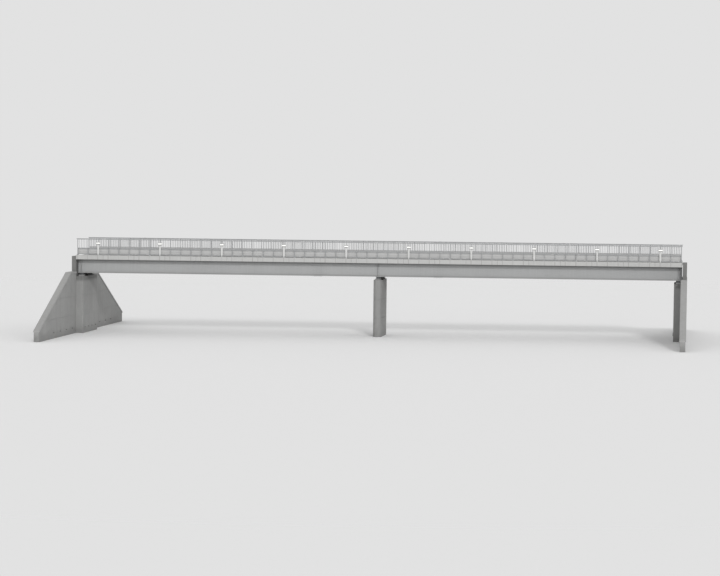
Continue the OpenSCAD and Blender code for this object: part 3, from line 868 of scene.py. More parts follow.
class Workpiece:
    """One mesh on the bench: a primitive that is shaped in edit mode and then set in place."""

    def __init__(self, obj: bpy.types.Object, name: str) -> None:
        """Takes a fresh primitive, with its place and size put into its mesh.

        Args:
            obj: The primitive.
            name: Name of the piece.
        """
        self.obj = obj
        obj.name = name
        obj.data.name = name
        self.settle()

    @classmethod
    def block(cls, name: str, low: Point, high: Point) -> "Workpiece":
        """Adds a cuboid between two corners.

        Args:
            name: Name of the piece.
            low: Lowest corner.
            high: Highest corner.

        Returns:
            The piece.
        """
        deselect_all()
        a, b = Vector(low), Vector(high)
        bpy.ops.mesh.primitive_cube_add(size=1, location=(a + b) / 2)
        bpy.context.object.scale = b - a
        return cls(bpy.context.object, name)

    @classmethod
    def rod(cls, name: str, foot: Point, radius: float, height: float, sides: int) -> "Workpiece":
        """Adds an upright prism or cylinder.

        Args:
            name: Name of the piece.
            foot: Middle of its underside.
            radius: Radius over its corners.
            height: Height.
            sides: Number of its sides.

        Returns:
            The piece.
        """
        deselect_all()
        middle = Vector(foot) + Vector((0, 0, height / 2))
        bpy.ops.mesh.primitive_cylinder_add(vertices=sides, radius=radius, depth=height, location=middle)
        return cls(bpy.context.object, name)

    @classmethod
    def disc(cls, name: str, middle: Point, radius: float, sides: int) -> "Workpiece":
        """Adds a flat filled circle.

        Args:
            name: Name of the piece.
            middle: Its middle.
            radius: Its radius.
            sides: Number of its corners.

        Returns:
            The piece.
        """
        deselect_all()
        bpy.ops.mesh.primitive_circle_add(
            vertices=sides, radius=radius, fill_type="NGON", location=middle
        )
        return cls(bpy.context.object, name)

    def hold(self) -> None:
        """Makes this the only selected object, and the active one."""
        deselect_all()
        self.obj.select_set(True)
        bpy.context.view_layer.objects.active = self.obj

    def settle(self) -> "Workpiece":
        """Puts the object's place, turn and size into its mesh."""
        self.hold()
        bpy.ops.object.transform_apply(location=True, rotation=True, scale=True)
        return self

    def pick(self, test: Test, part: Part) -> "Workpiece":
        """Opens edit mode with the faces or edges selected that pass a test.

        Args:
            test: Gets the middle of a face and its normal, or of an edge and its direction.
            part: What is picked.

        Returns:
            The piece.
        """
        self.hold()
        mesh = self.obj.data
        for group in (mesh.vertices, mesh.edges, mesh.polygons):
            group.foreach_set("select", [False] * len(group))
        if part is Part.FACE:
            for face in mesh.polygons:
                face.select = bool(test(face.center, face.normal))
        else:
            for edge in mesh.edges:
                a, b = (mesh.vertices[i].co for i in edge.vertices)
                edge.select = bool(test((a + b) / 2, (b - a).normalized()))
        bpy.context.tool_settings.mesh_select_mode = (False, part is Part.EDGE, part is Part.FACE)
        bpy.ops.object.mode_set(mode="EDIT")
        return self

    def faces(self, test: Test) -> "Workpiece":
        """Picks the faces that pass a test."""
        return self.pick(test, Part.FACE)

    def edges(self, test: Test) -> "Workpiece":
        """Picks the edges that pass a test."""
        return self.pick(test, Part.EDGE)

    def whole(self) -> "Workpiece":
        """Picks every face."""
        return self.faces(lambda middle, normal: True)

    def inset(self, width: float, rise: float = 0.0) -> "Workpiece":
        """Insets the picked faces by a width, and moves them out by a rise."""
        bpy.ops.mesh.inset(thickness=width, depth=rise)
        return self

    def extrude(self, step: Point) -> "Workpiece":
        """Extrudes what is picked by a step."""
        bpy.ops.mesh.extrude_region_move(TRANSFORM_OT_translate={"value": step})
        return self

    def widen(self, factor: Point, about: Point) -> "Workpiece":
        """Scales what is picked about a point."""
        bpy.ops.transform.resize(value=factor, center_override=about)
        return self

    def push(self, step: Point) -> "Workpiece":
        """Moves what is picked by a step."""
        bpy.ops.transform.translate(value=step)
        return self

    def cut(self, height: float) -> "Workpiece":
        """Cuts a level ring of edges round the whole piece at a height."""
        self.whole()
        bpy.ops.mesh.bisect(plane_co=(0, 0, height), plane_no=(0, 0, 1))
        return self

    def bevel(self, width: float, steps: int) -> "Workpiece":
        """Bevels the picked edges."""
        bpy.ops.mesh.bevel(offset=width, segments=steps, affect="EDGES")
        return self

    def spin(self, angle: float, steps: int, about: Point, axis: Point) -> "Workpiece":
        """Sweeps what is picked round an axis.

        Args:
            angle: Angle of the sweep in radians.
            steps: Number of its steps.
            about: A point of the axis.
            axis: Direction of the axis.

        Returns:
            The piece.
        """
        bpy.ops.mesh.spin(steps=steps, angle=angle, center=about, axis=axis)
        return self

    def move(self, place: Matrix) -> "Workpiece":
        """Moves the whole piece by a matrix, into its mesh."""
        self.hold()
        self.obj.matrix_world = place @ self.obj.matrix_world
        return self.settle()

    def shift(self, step: Point) -> "Workpiece":
        """Moves the whole piece by a step."""
        return self.move(Matrix.Translation(step))

    def repeat(self, count: int, step: Point) -> "Workpiece":
        """Copies the piece at equal steps.

        Args:
            count: Number of pieces with the first one.
            step: Way from one piece to the next.

        Returns:
            The piece.
        """
        self.hold()
        array = self.obj.modifiers.new("pattern", "ARRAY")
        array.use_relative_offset = False
        array.use_constant_offset = True
        array.constant_offset_displace = step
        array.count = count
        bpy.ops.object.modifier_apply(modifier=array.name)
        return self

    def copy(self) -> "Workpiece":
        """Makes a second piece with its own mesh."""
        self.hold()
        twin = self.obj.copy()
        twin.data = self.obj.data.copy()
        bpy.context.scene.collection.objects.link(twin)
        return Workpiece(twin, self.obj.name + "_copy")

    def set_out(self, places: Sequence[Matrix]) -> "Workpiece":
        """Copies the piece to each place and joins the copies.

        Args:
            places: Matrices that bring the piece from the origin to each place.

        Returns:
            The piece, now at the places only.
        """
        others = [self.copy() for _ in places[1:]]
        for piece, place in zip([self, *others], places):
            piece.move(place)
        return self.join(*others)

    def join(self, *others: "Workpiece") -> "Workpiece":
        """Joins other pieces to this one."""
        self.hold()
        for other in others:
            other.obj.select_set(True)
        if others:
            bpy.ops.object.join()
        return self

    def to_side(self, side: Side) -> "Workpiece":
        """Puts a piece that was made for the far parapet, unskewed, on a side of the deck."""
        shift = Matrix.Translation((BRIDGE.shift(side.value * BRIDGE.post_y), 0, 0))
        return self.move(shift @ Matrix.Diagonal((1, side.value, 1, 1)))

    def close(self, smooth_deg: float = 0.0) -> "Workpiece":
        """Merges doubles, points the faces outwards and smooths what is nearly flat.

        Args:
            smooth_deg: Edges below this angle are smooth; 0 keeps all of them sharp.

        Returns:
            The piece.
        """
        self.whole()
        bpy.ops.mesh.remove_doubles(threshold=0.00002)
        bpy.ops.mesh.select_all(action="SELECT")
        bpy.ops.mesh.normals_make_consistent(inside=False)
        self.hold()
        if smooth_deg:
            bpy.ops.object.shade_smooth_by_angle(angle=math.radians(smooth_deg))
        return self

    def dress(self, finish: Finish) -> None:
        """Gives the piece its finish and hands it to the frame."""
        self.obj.data.materials.clear()
        self.obj.data.materials.append(finish.material())
        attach(self.obj, "root")


@dataclass(frozen=True)
class BoltEnd:
    """A washer, a chamfered nut and a bolt's end, as shares of the bolt's diameter."""

    size: float
    washer_r: float = 1.05
    washer_t: float = 0.2
    washer_rim: float = 0.08
    washer_rise: float = 0.05
    nut_r: float = 0.9
    nut_h: float = 0.7
    nut_rim: float = 0.12
    nut_rise: float = 0.07
    thread_in: float = 0.3
    thread_h: float = 0.3

    def model(self, name: str = "nut") -> Workpiece:
        """Models them, standing on the origin.

        Args:
            name: Name of the piece.

        Returns:
            The piece.
        """
        d = self.size
        washer = Workpiece.rod(name, (0, 0, -SUNK), self.washer_r * d, self.washer_t * d, 12)
        washer.faces(facing(Axis.Z)).inset(self.washer_rim * d, self.washer_rise * d)
        nut = Workpiece.rod("hexagon", (0, 0, self.washer_t * d), self.nut_r * d, self.nut_h * d, 6)
        nut.faces(facing(Axis.Z)).inset(self.nut_rim * d, self.nut_rise * d)
        nut.inset(self.thread_in * d).extrude((0, 0, self.thread_h * d))
        return washer.join(nut)


@dataclass(frozen=True)
class DomedHead:
    """A low domed screw head, as shares of its radius."""

    radius: float
    height: float = 0.4
    rim: float = 0.35
    rise: float = 0.25

    def model(self, name: str = "head") -> Workpiece:
        """Models it, standing on the origin."""
        head = Workpiece.rod(name, (0, 0, -SUNK), self.radius, self.height * self.radius, 8)
        return head.faces(facing(Axis.Z)).inset(self.rim * self.radius, self.rise * self.radius)


@dataclass
class Kit:
    """A sub-assembly: it builds its pieces, dresses them and reports them."""

    kept: list[tuple[Workpiece, Finish]] = field(default_factory=list, init=False)

    def build(self) -> None:
        """Builds the meshes."""
        raise NotImplementedError

    def keep(self, piece: Workpiece, finish: Finish) -> None:
        """Keeps a finished mesh and says which finish it gets."""
        self.kept.append((piece, finish))

    def dress(self) -> None:
        """Gives each piece its finish."""
        for piece, finish in self.kept:
            piece.dress(finish)
            log.info("%s: %d faces in %s", piece.obj.name, len(piece.obj.data.polygons), finish.name)


@dataclass
class ParapetFixings(Kit):
    """Bolts, screws and caps of one parapet."""

    side: Side
    bolt: float = 0.010
    bolt_out: float = 0.036
    panel_bottom: float = 0.04
    panel_top: float = 0.34
    panel_t: float = 0.004
    panel_rib: float = 0.008
    rib_w: float = 0.05
    ribs: int = 2
    cover_w: float = 0.036
    cover_t: float = 0.0015
    cover_short: float = 0.003
    screw: float = 0.0055
    screw_pitch: float = 0.2
    sleeve_every: int = 6
    sleeve_t: float = 0.004
    sleeve_screw_x: float = 0.035
    sleeve_screw_z: float = 0.014
    top_rail_past: float = 0.05
    cap_in: float = 0.006
    cap_out: float = 0.002
    cap_lip: float = 0.001
    cap_round: float = 0.22

    @property
    def rail_heights(self) -> tuple[float, float]:
        """Heights of the middle of the two lower rails."""
        half = BRIDGE.rail_h / 2
        return BRIDGE.z_edge + self.panel_bottom + half, BRIDGE.z_edge + self.panel_top - half

    def build(self) -> None:
        """Builds the meshes."""
        self.keep(self.foot_bolts(), FIXING)
        self.keep(self.panel_screws(), FIXING)
        self.keep(self.joint_covers(), SHEET)
        self.keep(self.sleeve_screws(), FIXING)
        self.keep(self.end_caps(), ZINC)

    def foot_bolts(self) -> Workpiece:
        """Builds four holding-down bolts on every post's foot plate."""
        piece = BoltEnd(self.bolt).model(self.side.label("foot_bolts"))
        out = self.bolt_out
        piece.shift((-BRIDGE.span - out, BRIDGE.post_y - out, BRIDGE.z_edge + BRIDGE.foot_t))
        piece.repeat(2, (2 * out, 0, 0)).repeat(2, (0, 2 * out, 0))
        piece.repeat(2 * BRIDGE.bays + 1, (BRIDGE.bay, 0, 0))
        return piece.to_side(self.side).close()

    def panel_screws(self) -> Workpiece:
        """Builds the screws that hold the panels to the two lower rails."""
        piece = DomedHead(self.screw).model(self.side.label("panel_screws"))
        low, high = self.rail_heights
        x = -BRIDGE.span + BRIDGE.bay / 2 - self.screw_pitch
        piece.move(standing((x, BRIDGE.panel_y - self.panel_t, low), (0, -1, 0)))
        piece.repeat(3, (self.screw_pitch, 0, 0)).repeat(2, (0, 0, high - low))
        piece.repeat(2 * BRIDGE.bays, (BRIDGE.bay, 0, 0))
        return piece.to_side(self.side).close()

    def joint_covers(self) -> Workpiece:
        """Builds a pressed strip over each gap between two panels, with its two screws."""
        face, half = BRIDGE.panel_y - self.panel_t, self.cover_w / 2
        low, high = BRIDGE.z_edge + self.panel_bottom, BRIDGE.z_edge + self.panel_top
        cover = Workpiece.block(
            self.side.label("panel_joint_covers"),
            (-half, face - self.cover_t, low + self.cover_short),
            (half, face + SUNK, high - self.cover_short),
        )
        crown = self.rib_w / 2
        ribs = [low + (k + 1) * (high - low) / (self.ribs + 1) for k in range(self.ribs)]
        for rib in ribs:
            for out in (-crown - self.panel_rib, -crown, crown, crown + self.panel_rib):
                cover.cut(rib + out)
        for rib in ribs:
            cover.faces(lambda middle, normal: abs(middle.z - rib) < crown - SUNK)
            cover.push((0, -self.panel_rib, 0))
        seats = [standing((0, face - self.cover_t, z), (0, -1, 0)) for z in self.rail_heights]
        cover.join(DomedHead(self.screw).model().set_out(seats))
        cover.shift((BRIDGE.bay - BRIDGE.span, 0, 0))
        cover.repeat(2 * BRIDGE.bays - 1, (BRIDGE.bay, 0, 0))
        return cover.to_side(self.side).close()

    def sleeve_screws(self) -> Workpiece:
        """Builds two screws on each face of every sleeve of the top rail."""
        half = BRIDGE.top_rail_w / 2 + self.sleeve_t
        z = BRIDGE.z_rail + self.sleeve_screw_z
        places = [
            standing((x + dx, BRIDGE.top_rail_y + face * half, z), (0, face, 0))
            for x in BRIDGE.mid_bays(self.sleeve_every)
            for dx in (-self.sleeve_screw_x, self.sleeve_screw_x)
            for face in (-1, 1)
        ]
        piece = DomedHead(self.screw).model(self.side.label("sleeve_screws")).set_out(places)
        return piece.to_side(self.side).close()

    def end_caps(self) -> Workpiece:
        """Builds pressed caps on the ends of the three rails."""
        top_z = BRIDGE.z_rail + BRIDGE.top_rail_h / 2
        top = (self.top_rail_past, BRIDGE.top_rail_y, top_z, BRIDGE.top_rail_w, BRIDGE.top_rail_h)
        past, wide, high = BRIDGE.post_w / 2, BRIDGE.rail_d, BRIDGE.rail_h
        lower = [(past, BRIDGE.rail_y, z, wide, high) for z in self.rail_heights]
        caps = [self.end_cap(*sizes) for sizes in (top, *lower)]
        piece = caps[0].join(*caps[1:])
        piece.join(piece.copy().move(Matrix.Diagonal((-1, 1, 1, 1))))
        return piece.to_side(self.side).close(30)

    def end_cap(self, past: float, y: float, z: float, wide: float, high: float) -> Workpiece:
        """Builds the right end's cap of one rail.

        Args:
            past: How far the rail runs on past the last post's middle.
            y: Place of the rail's middle across the deck.
            z: Height of the rail's middle.
            wide: Width of the rail.
            high: Height of the rail.

        Returns:
            The piece.
        """
        x, half = BRIDGE.span + past, (wide / 2 + self.cap_lip, high / 2 + self.cap_lip)
        cap = Workpiece.block(
            self.side.label("rail_caps"),
            (x - self.cap_in, y - half[0], z - half[1]),
            (x + self.cap_out, y + half[0], z + half[1]),
        )
        cap.edges(running(Axis.X)).bevel(high * self.cap_round, 3)
        cap.faces(facing(Axis.X)).inset(0.003, 0.002).inset(0.004).extrude((-0.0012, 0, 0))
        return cap


@dataclass
class EdgeSeals(Kit):
    """Mastic in the joints of one edge beam, and the seal along the surfacing."""

    side: Side
    every: int = 3
    joint_w: float = 0.008
    sunk: float = 0.003
    drip_top: float = 0.014
    chamfer: float = 0.012
    past_chamfer: float = 0.011
    rim: float = 0.0012
    bulge: float = 0.0008
    seal_w: float = 0.022
    seal_round: float = 0.005
    seal_short: float = 0.02

    def build(self) -> None:
        """Builds the meshes."""
        self.keep(self.joint_strips(), MASTIC)
        self.keep(self.surfacing_seal(), MASTIC)

    def joint_strips(self) -> Workpiece:
        """Builds one strip up the outer face and over the top of each joint."""
        half, deep = self.joint_w / 2, self.joint_w
        out = BRIDGE.half_w - self.sunk
        bend = BRIDGE.z_edge - self.chamfer
        low = (-half, out - deep + self.sunk, BRIDGE.z_slab - self.drip_top)
        strip = Workpiece.block(self.side.label("joint_mastic"), low, (half, out, bend))
        strip.faces(facing(Axis.Z)).extrude((0, self.sunk - self.chamfer, self.chamfer - deep))
        strip.faces(facing(Axis.Z, lambda middle: middle.z > bend - self.sunk))
        strip.inset(self.rim, self.bulge)
        cover = Workpiece.block(
            "cover",
            (-half, BRIDGE.edge_in + self.past_chamfer, BRIDGE.z_edge - deep),
            (half, BRIDGE.half_w - self.past_chamfer, BRIDGE.z_edge - self.sunk),
        )
        cover.faces(facing(Axis.Z)).inset(self.rim, -self.bulge)
        strip.join(cover)
        strip.set_out([Matrix.Translation((x, 0, 0)) for x in BRIDGE.mid_bays(self.every)])
        return strip.to_side(self.side).close()

    def surfacing_seal(self) -> Workpiece:
        """Builds the poured bead between the surfacing and the edge beam."""
        reach, inner = BRIDGE.deck_half_l - self.seal_short, BRIDGE.edge_in - self.seal_w
        bead = Workpiece.block(
            self.side.label("surfacing_seal"),
            (-reach, inner, BRIDGE.z_way - 0.002),
            (reach, BRIDGE.edge_in, BRIDGE.z_way + self.seal_round),
        )
        free = running(
            Axis.X, lambda middle: middle.z > BRIDGE.z_way and middle.y < inner + self.seal_round
        )
        bead.edges(free).bevel(self.seal_round, 3)
        return bead.to_side(self.side).close(40)


@dataclass
class SpliceBolts(Kit):
    """Bolts of the girders' splices and cross frames."""

    bolt: float = 0.011
    splice_x: float = 2.9
    columns: tuple[float, ...] = (-0.165, -0.105, -0.045, 0.045, 0.105, 0.165)
    rows: int = 7
    row_in: float = 0.035
    low_flange_rows: tuple[float, ...] = (-0.095, -0.05, 0.05, 0.095)
    top_flange_rows: tuple[float, ...] = (-0.08, -0.045, 0.045, 0.08)
    cover_t: float = 0.008
    cover_gap: float = 0.015
    frame_in: float = 0.0545
    frame_heights: tuple[float, ...] = (2.975, 3.02, 3.439, 3.484)
    frame_faces: tuple[float, float] = (0.013, -0.005)

    def build(self) -> None:
        """Builds the meshes."""
        self.keep(self.splice_bolts(), BOLT)
        for end in End:
            self.keep(self.frame_bolts(end), BOLT)

    def splice_bolts(self) -> Workpiece:
        """Builds the bolts through the web and flange covers of the four splices."""
        web = BRIDGE.web_t / 2 + self.cover_t
        edge = self.cover_t + self.cover_gap + self.row_in
        low, high = BRIDGE.z_web + edge, BRIDGE.z_flange_under - edge
        rows = [low + k * (high - low) / (self.rows - 1) for k in range(self.rows)]
        flanges = (
            (self.low_flange_rows, BRIDGE.headroom - self.cover_t, -1),
            (self.low_flange_rows, BRIDGE.z_web + self.cover_t, 1),
            (self.top_flange_rows, BRIDGE.z_flange_under - self.cover_t, -1),
        )
        seats = []
        for x in self.columns:
            seats += [standing((x, face * web, z), (0, face, 0)) for face in (-1, 1) for z in rows]
            for flange_rows, z, way in flanges:
                seats += [standing((x, y, z), (0, 0, way)) for y in flange_rows]
        piece = BoltEnd(self.bolt).model("splice_bolts").set_out(seats)
        return piece.set_out(BRIDGE.at_girders(-self.splice_x, self.splice_x)).close()

    def frame_bolts(self, end: End) -> Workpiece:
        """Builds the bolts that hold one half's cross frames to the stiffeners.

        Args:
            end: Which half of the deck.

        Returns:
            The piece.
        """
        across = BRIDGE.girder_y / math.cos(BRIDGE.skew) - self.frame_in
        seats = [
            standing((x, side.value * across, z), (math.copysign(1, x), 0, 0))
            for side in Side
            for z in self.frame_heights
            for x in self.frame_faces
        ]
        piece = BoltEnd(self.bolt).model(end.label("frame_bolts")).set_out(seats)
        steps = range(1, BRIDGE.frames + 1)
        piece.set_out([BRIDGE.on_line(end.value * k * BRIDGE.frame_pitch) for k in steps])
        return piece.close()


@dataclass
class BearingFittings(Kit):
    """Rubber skirts, holding-down bolts and guide bars of the six bearings."""

    plate_t: float = 0.012
    pot_h: float = 0.034
    skirt_r: float = 0.0712
    skirt_bulge: float = 1.07
    gap: float = 0.022
    clear: float = 0.0002
    folds: int = 3
    bolt: float = 0.009
    bolt_out: float = 0.0865
    guide_half_l: float = 0.07
    guide_y: float = 0.085
    guide_t: float = 0.009
    guide_up: float = 0.012
    guide_h: float = 0.0215

    @property
    def z_plate(self) -> float:
        """Height of the bottom plates' top."""
        return BRIDGE.z_plinth + self.plate_t

    def build(self) -> None:
        """Builds the meshes."""
        turn = BRIDGE.on_line(0.0)
        lines = BRIDGE.at_girders(-BRIDGE.bearing_x, 0.0, BRIDGE.bearing_x)
        places = [line @ turn for line in lines]
        self.keep(self.skirts().set_out(places).close(60), RUBBER)
        self.keep(self.bolts().set_out(places).close(), FIXING)
        self.keep(self.guides().set_out(places).close(30), BEARING)

    def skirts(self) -> Workpiece:
        """Builds one bellows round a piston."""
        low = self.z_plate + self.pot_h + self.clear
        rise = (self.gap - 2 * self.clear) / (2 * self.folds)
        skirt = Workpiece.disc("bearing_skirts", (0, 0, low), self.skirt_r, 40).whole()
        for _ in range(self.folds):
            for factor in (self.skirt_bulge, 1 / self.skirt_bulge):
                skirt.extrude((0, 0, rise)).widen((factor, factor, 1), (0, 0, low))
        return skirt

    def bolts(self) -> Workpiece:
        """Builds four bolts on the corners of a bottom plate."""
        out = self.bolt_out
        bolt = BoltEnd(self.bolt).model("bearing_bolts").shift((-out, -out, self.z_plate))
        return bolt.repeat(2, (2 * out, 0, 0)).repeat(2, (0, 2 * out, 0))

    def guides(self) -> Workpiece:
        """Builds two keeper bars on a sliding plate's sides."""
        low = self.z_plate + self.pot_h + self.guide_up
        bars = []
        for side in Side:
            near, far = sorted(side.value * y for y in (self.guide_y, self.guide_y + self.guide_t))
            bar = Workpiece.block(
                "bearing_guides",
                (-self.guide_half_l, near, low),
                (self.guide_half_l, far, low + self.guide_h),
            )
            bar.edges(running(Axis.X, lambda middle: middle.z < low + self.guide_h / 2))
            bar.bevel(0.003, 2).faces(running(Axis.X)).inset(0.002, 0.0015)
            bars.append(bar)
        return bars[0].join(bars[1])


@dataclass
class LampFittings(Kit):
    """Bezels, guards, straps and duct covers of the near parapet's lamps.

    All of them are drawn for one lamp over X = 0 on the far side, where outwards is +Y.
    """

    lamps: int = 10
    pitch: float = 3.0
    first: float = -13.5
    half_w: float = 0.11
    half_h: float = 0.065
    deep: float = 0.06
    bezel_in: float = 0.012
    bezel_sunk: float = 0.009
    bezel_t: float = 0.006
    bezel_r: float = 0.012
    wire: float = 0.0022
    wire_sunk: float = 0.002
    guard_in: float = 0.008
    guard_depth: float = 0.55
    hoop_pitch: float = 0.042
    rod_l: float = 0.18
    rod_angle: float = 0.6
    strap_t: float = 0.0025
    strap_half_h: float = 0.007
    strap_z: float = 0.04
    lug_l: float = 0.02
    lug_t: float = 0.003
    nut: float = 0.006
    duct_w: float = 0.09
    duct_d: float = 0.03
    duct_low: float = 0.09
    duct_top_gap: float = 0.008
    cover_in: float = 0.004
    cover_t: float = 0.0025
    cover_rim: float = 0.012
    cover_rows: int = 4
    screw: float = 0.0035
    screw_in: float = 0.006

    @property
    def back_y(self) -> float:
        """Place across the deck of the housings' back, on the posts."""
        return BRIDGE.post_y + BRIDGE.post_d / 2

    @property
    def face_y(self) -> float:
        """Place across the deck of the housings' front."""
        return self.back_y + self.deep

    def build(self) -> None:
        """Builds the meshes."""
        lamps = [Matrix.Translation((self.first + k * self.pitch, 0, 0)) for k in range(self.lamps)]
        for piece, finish, smooth in (
            (self.bezel(), FIXING, 40),
            (self.guard(), FIXING, 50),
            (self.straps(), FIXING, 30),
            (self.duct_cover(), LAMP, 30),
        ):
            self.keep(piece.set_out(lamps).to_side(Side.NEAR).close(smooth), finish)

    def screws(self, x: float, y: float, heights: Sequence[float]) -> Workpiece:
        """Builds two columns of screws that point outwards.

        Args:
            x: Distance of each column from the lamp's middle.
            y: Place across the deck of the plate that they stand on.
            heights: Their heights.

        Returns:
            The piece.
        """
        seats = [standing((way * x, y, z), (0, 1, 0)) for way in (-1, 1) for z in heights]
        return DomedHead(self.screw).model().set_out(seats)

    def bezel(self) -> Workpiece:
        """Builds the frame that clamps a lens, with a screw in each corner."""
        x, y = self.half_w - self.bezel_in, self.face_y - self.bezel_sunk
        low, high = (BRIDGE.z_lamp + way * (self.half_h - self.bezel_in) for way in (-1, 1))
        ring = Workpiece.block("lamp_bezels", (-x, y, low), (x, y + self.bezel_t, high))
        ring.edges(running(Axis.Y)).bevel(self.bezel_r, 4)
        ring.faces(facing(Axis.Y)).inset(0.004, 0.002).inset(0.005).extrude((0, -0.004, 0))
        heights = (low + self.screw_in, high - self.screw_in)
        return ring.join(self.screws(x - self.screw_in, y + self.bezel_t - SUNK, heights))

    def guard(self) -> Workpiece:
        """Builds five wire hoops over a lens and two rods along them."""
        reach, y = self.half_h - self.guard_in, self.face_y - self.wire_sunk
        hoops = []
        for x in (k * self.hoop_pitch for k in range(-2, 3)):
            hoop = Workpiece.disc("lamp_guards", (0, 0, 0), self.wire, 6)
            hoop.move(standing((x, y, BRIDGE.z_lamp + reach), (0, 1, 0)))
            hoop.whole().spin(math.pi, 12, (x, y, BRIDGE.z_lamp), (1, 0, 0))
            hoop.whole().widen((1, self.guard_depth, 1), (x, y, BRIDGE.z_lamp))
            hoops.append(hoop)
        for angle in (-self.rod_angle, self.rod_angle):
            out = self.guard_depth * reach * math.cos(angle)
            rod = Workpiece.rod("rod", (0, 0, -self.rod_l / 2), self.wire, self.rod_l, 6)
            rod.faces(running(Axis.Z)).inset(self.wire * 0.4, self.wire * 0.4)
            z = BRIDGE.z_lamp + reach * math.sin(angle)
            hoops.append(rod.move(standing((0, y + out, z), (1, 0, 0))))
        return hoops[0].join(*hoops[1:])

    def straps(self) -> Workpiece:
        """Builds two straps round a post behind a lamp, each with two lugs and nuts."""
        straps = [self.strap(BRIDGE.z_lamp + dz) for dz in (-self.strap_z, self.strap_z)]
        return straps[0].join(straps[1])

    def strap(self, z: float) -> Workpiece:
        """Builds one strap with its lugs and nuts.

        Args:
            z: Height of its middle.

        Returns:
            The piece.
        """
        half, high = BRIDGE.post_w / 2 + self.strap_t, self.strap_half_h
        rear, front = BRIDGE.post_y - BRIDGE.post_d / 2 - self.strap_t, self.back_y - 2 * SUNK
        strap = Workpiece.block("lamp_straps", (-half, rear, z - high), (half, front, z + high))
        strap.edges(running(Axis.Z, lambda middle: middle.y < BRIDGE.post_y)).bevel(0.004, 3)
        for way in (-1, 1):
            near, far = sorted((way * (half - 2 * SUNK), way * (half + self.lug_l)))
            seat_x, rim = half + self.lug_l / 2, front - self.lug_t
            lug = Workpiece.block("lug", (near, rim, z - high), (far, front, z + high))
            lug.edges(running(Axis.Y, lambda middle: abs(middle.x) > seat_x)).bevel(0.005, 2)
            nut = BoltEnd(self.nut).model().move(standing((way * seat_x, rim, z), (0, -1, 0)))
            strap.join(lug, nut)
        return strap

    def duct_cover(self) -> Workpiece:
        """Builds a duct's cover plate with a raised middle and its screws."""
        low = BRIDGE.z_edge + BRIDGE.foot_t + self.duct_low
        high = BRIDGE.z_lamp - self.half_h - self.duct_top_gap
        y, x = self.back_y + self.duct_d, self.duct_w / 2 - self.cover_in
        plate = Workpiece.block("duct_covers", (-x, y - SUNK, low), (x, y + self.cover_t, high))
        plate.faces(facing(Axis.Y)).inset(self.cover_rim).inset(0.003, 0.003)
        plate.edges(running(Axis.Y)).bevel(0.006, 3)
        rise = (high - low - 2 * self.cover_rim) / (self.cover_rows - 1)
        heights = [low + self.cover_rim + k * rise for k in range(self.cover_rows)]
        return plate.join(self.screws(x - self.screw_in, y + self.cover_t, heights))


@dataclass
class WallFittings(Kit):
    """Weep pipes of the abutments and steel nosings beside the movement joints."""

    weep_z: float = 0.28
    weep_r: float = 0.022
    weep_l: float = 0.042
    weep_in: float = 0.02
    weep_fall: float = 0.06
    front_weeps: tuple[float, ...] = (-0.9, -0.3, 0.3, 0.9)
    wing_weeps: tuple[float, ...] = (1.9, 2.9, 3.9, 4.9)
    wing_set: float = 0.34
    bar_w: float = 0.014
    bar_up: float = 0.003
    bar_down: float = 0.004
    bar_short: float = 0.012
    screw: float = 0.004
    screw_y: float = 0.88
    screws: int = 9

    def build(self) -> None:
        """Builds the meshes."""
        self.keep(self.weeps(), MASTIC)
        self.keep(self.nosings(), FIXING)

    def weeps(self) -> Workpiece:
        """Builds the ends of the pipes that drain the ground behind the walls."""
        pipe = Workpiece.rod("weep_pipes", (0, 0, -self.weep_in), self.weep_r, self.weep_l, 14)
        pipe.faces(facing(Axis.Z)).inset(0.0015, 0.0015).inset(0.0035)
        pipe.extrude((0, 0, -self.weep_in))
        seats = [(0.0, y) for y in self.front_weeps]
        seats += [(-self.wing_set, way * y) for way in (-1, 1) for y in self.wing_weeps]
        line, fall = BRIDGE.on_line(-BRIDGE.face_x), (1, 0, -self.weep_fall)
        left = [line @ standing((x, y, self.weep_z), fall) for x, y in seats]
        return pipe.set_out(left + [HALF_TURN @ place for place in left]).close(40)

    def nosings(self) -> Workpiece:
        """Builds a rounded steel bar on each side of both movement joints."""
        gap = BRIDGE.joint_gap * math.cos(BRIDGE.skew)
        reach = BRIDGE.edge_in / math.cos(BRIDGE.skew) - self.bar_short
        low, top = BRIDGE.z_way - self.bar_down, BRIDGE.z_way + self.bar_up
        bars = []
        for x in (0.0, -gap - self.bar_w):
            bar = Workpiece.block("joint_nosings", (x, -reach, low), (x + self.bar_w, reach, top))
            bar.edges(running(Axis.Y, lambda middle: middle.z > BRIDGE.z_way)).bevel(0.002, 2)
            heads = DomedHead(self.screw).model().shift((x + self.bar_w / 2, -self.screw_y, top))
            heads.repeat(self.screws, (0, 2 * self.screw_y / (self.screws - 1), 0))
            bars.append(bar.join(heads))
        left = BRIDGE.on_line(-BRIDGE.deck_half_l)
        return bars[0].join(bars[1]).set_out([left, HALF_TURN @ left]).close(30)


class FrameFinishes:
    """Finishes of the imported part's own nodes."""

    def dress(self) -> None:
        """Gives each node the finish of its slot in the record."""
        for row in frame["record"]["subparts"]:
            node = frame["nodes"].get(row["node"])
            if node is None:
                continue
            finish = FINISH_OF_SLOT[row["material_slot"]]
            for ending, own in FINISH_OF_ENDING.items():
                if row["node"].endswith(ending):
                    finish = own
            node.data.materials.clear()
            node.data.materials.append(finish.material())
            log.info("%s: %s", row["node"], finish.name)


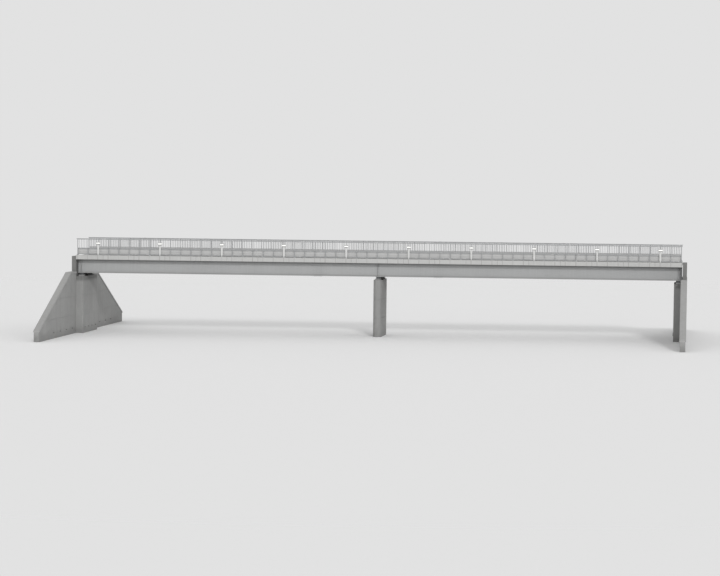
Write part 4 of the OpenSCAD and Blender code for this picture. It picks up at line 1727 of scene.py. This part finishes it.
@dataclass
class Studio:
    """Pale floor, soft lights and the camera."""

    floor_r: float = 420.0
    floor_z: float = -0.002
    floor_colour: Colour = (0.91, 0.91, 0.91)
    fade_from: float = 18.0
    fade_to: float = 75.0
    backdrop: float = 0.76
    sky: float = 0.68
    sun: float = 1.05
    sun_angle: float = math.radians(9)
    sun_from: Point = (0.25, -0.95, 0.5)
    eye: Point = (4.0, -102.2, 7.8)
    aim: Point = (-0.98, 0.0, 2.3)
    lens: float = 105.5
    roll: float = math.radians(0.65)

    def build(self) -> None:
        """Builds the floor, the lights and the camera."""
        self.floor()
        self.world()
        self.lamp()
        self.camera()

    def floor(self) -> None:
        """Builds a wide disc that fades into the background far from the bridge."""
        floor = Workpiece.disc("studio_floor", (0, 0, self.floor_z), self.floor_r, 96)
        bench = ShaderBench("studio_floor", 0.9)
        bench.set("Base Color", self.floor_colour)
        across, deep, _ = bench.axes()
        fade = (across**2 + deep**2).root().ease(self.fade_from, self.fade_to, 0.0, 1.0)
        clear = bench.add("BsdfTransparent").outputs[0]
        blend = bench.add("MixShader", fade, bench.shader.outputs[0], clear)
        bench.feed(bench.nodes["Material Output"].inputs["Surface"], blend.outputs[0])
        floor.obj.data.materials.append(bench.material)

    def world(self) -> None:
        """Makes an even sky that lights the bridge and shows as a pale background."""
        world = bpy.data.worlds.new("studio")
        bpy.context.scene.world = world
        world.use_nodes = True
        bench = NodeBench(world.node_tree)
        light = bench.nodes["Background"]
        bench.feed(light.inputs["Color"], (1, 1, 1))
        bench.feed(light.inputs["Strength"], self.sky)
        shown = bench.add("Background", Color=(self.backdrop,) * 3)
        rays = bench.add("LightPath").outputs
        seen = Pattern(bench, rays["Is Camera Ray"])
        for name in ("Is Glossy Ray", "Is Transmission Ray"):
            seen = seen.most(Pattern(bench, rays[name]))
        blend = bench.add("MixShader", seen, light.outputs[0], shown.outputs[0])
        bench.feed(bench.nodes["World Output"].inputs["Surface"], blend.outputs[0])

    def lamp(self) -> None:
        """Hangs one broad soft sun."""
        data = bpy.data.lights.new("soft_sun", "SUN")
        data.energy = self.sun
        data.angle = self.sun_angle
        sun = bpy.data.objects.new("soft_sun", data)
        sun.rotation_euler = Vector(self.sun_from).to_track_quat("Z", "Y").to_euler()
        bpy.context.scene.collection.objects.link(sun)

    def camera(self) -> None:
        """Sets up the camera at the photograph's viewing angle, with a longer lens."""
        data = bpy.data.cameras.new("camera")
        data.lens = self.lens
        data.sensor_width = 36.0
        data.clip_end = 2000.0
        camera = bpy.data.objects.new("camera", data)
        look = (Vector(self.aim) - Vector(self.eye)).to_track_quat("-Z", "Y")
        camera.rotation_mode = "QUATERNION"
        camera.rotation_quaternion = look @ Quaternion((0, 0, 1), self.roll)
        camera.location = self.eye
        bpy.context.scene.collection.objects.link(camera)
        bpy.context.scene.camera = camera


def main() -> None:
    """Builds and dresses every sub-assembly."""
    logging.basicConfig(level=logging.INFO, format="%(name)s: %(message)s")
    bpy.context.scene.view_settings.view_transform = "Standard"
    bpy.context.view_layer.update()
    FrameFinishes().dress()
    kits: list[Kit] = [
        *(ParapetFixings(side) for side in Side),
        *(EdgeSeals(side) for side in Side),
        SpliceBolts(),
        BearingFittings(),
        LampFittings(),
        WallFittings(),
    ]
    for kit in kits:
        kit.build()
        kit.dress()
    Studio().build()
    deselect_all()


if __name__ == "__main__":
    main()
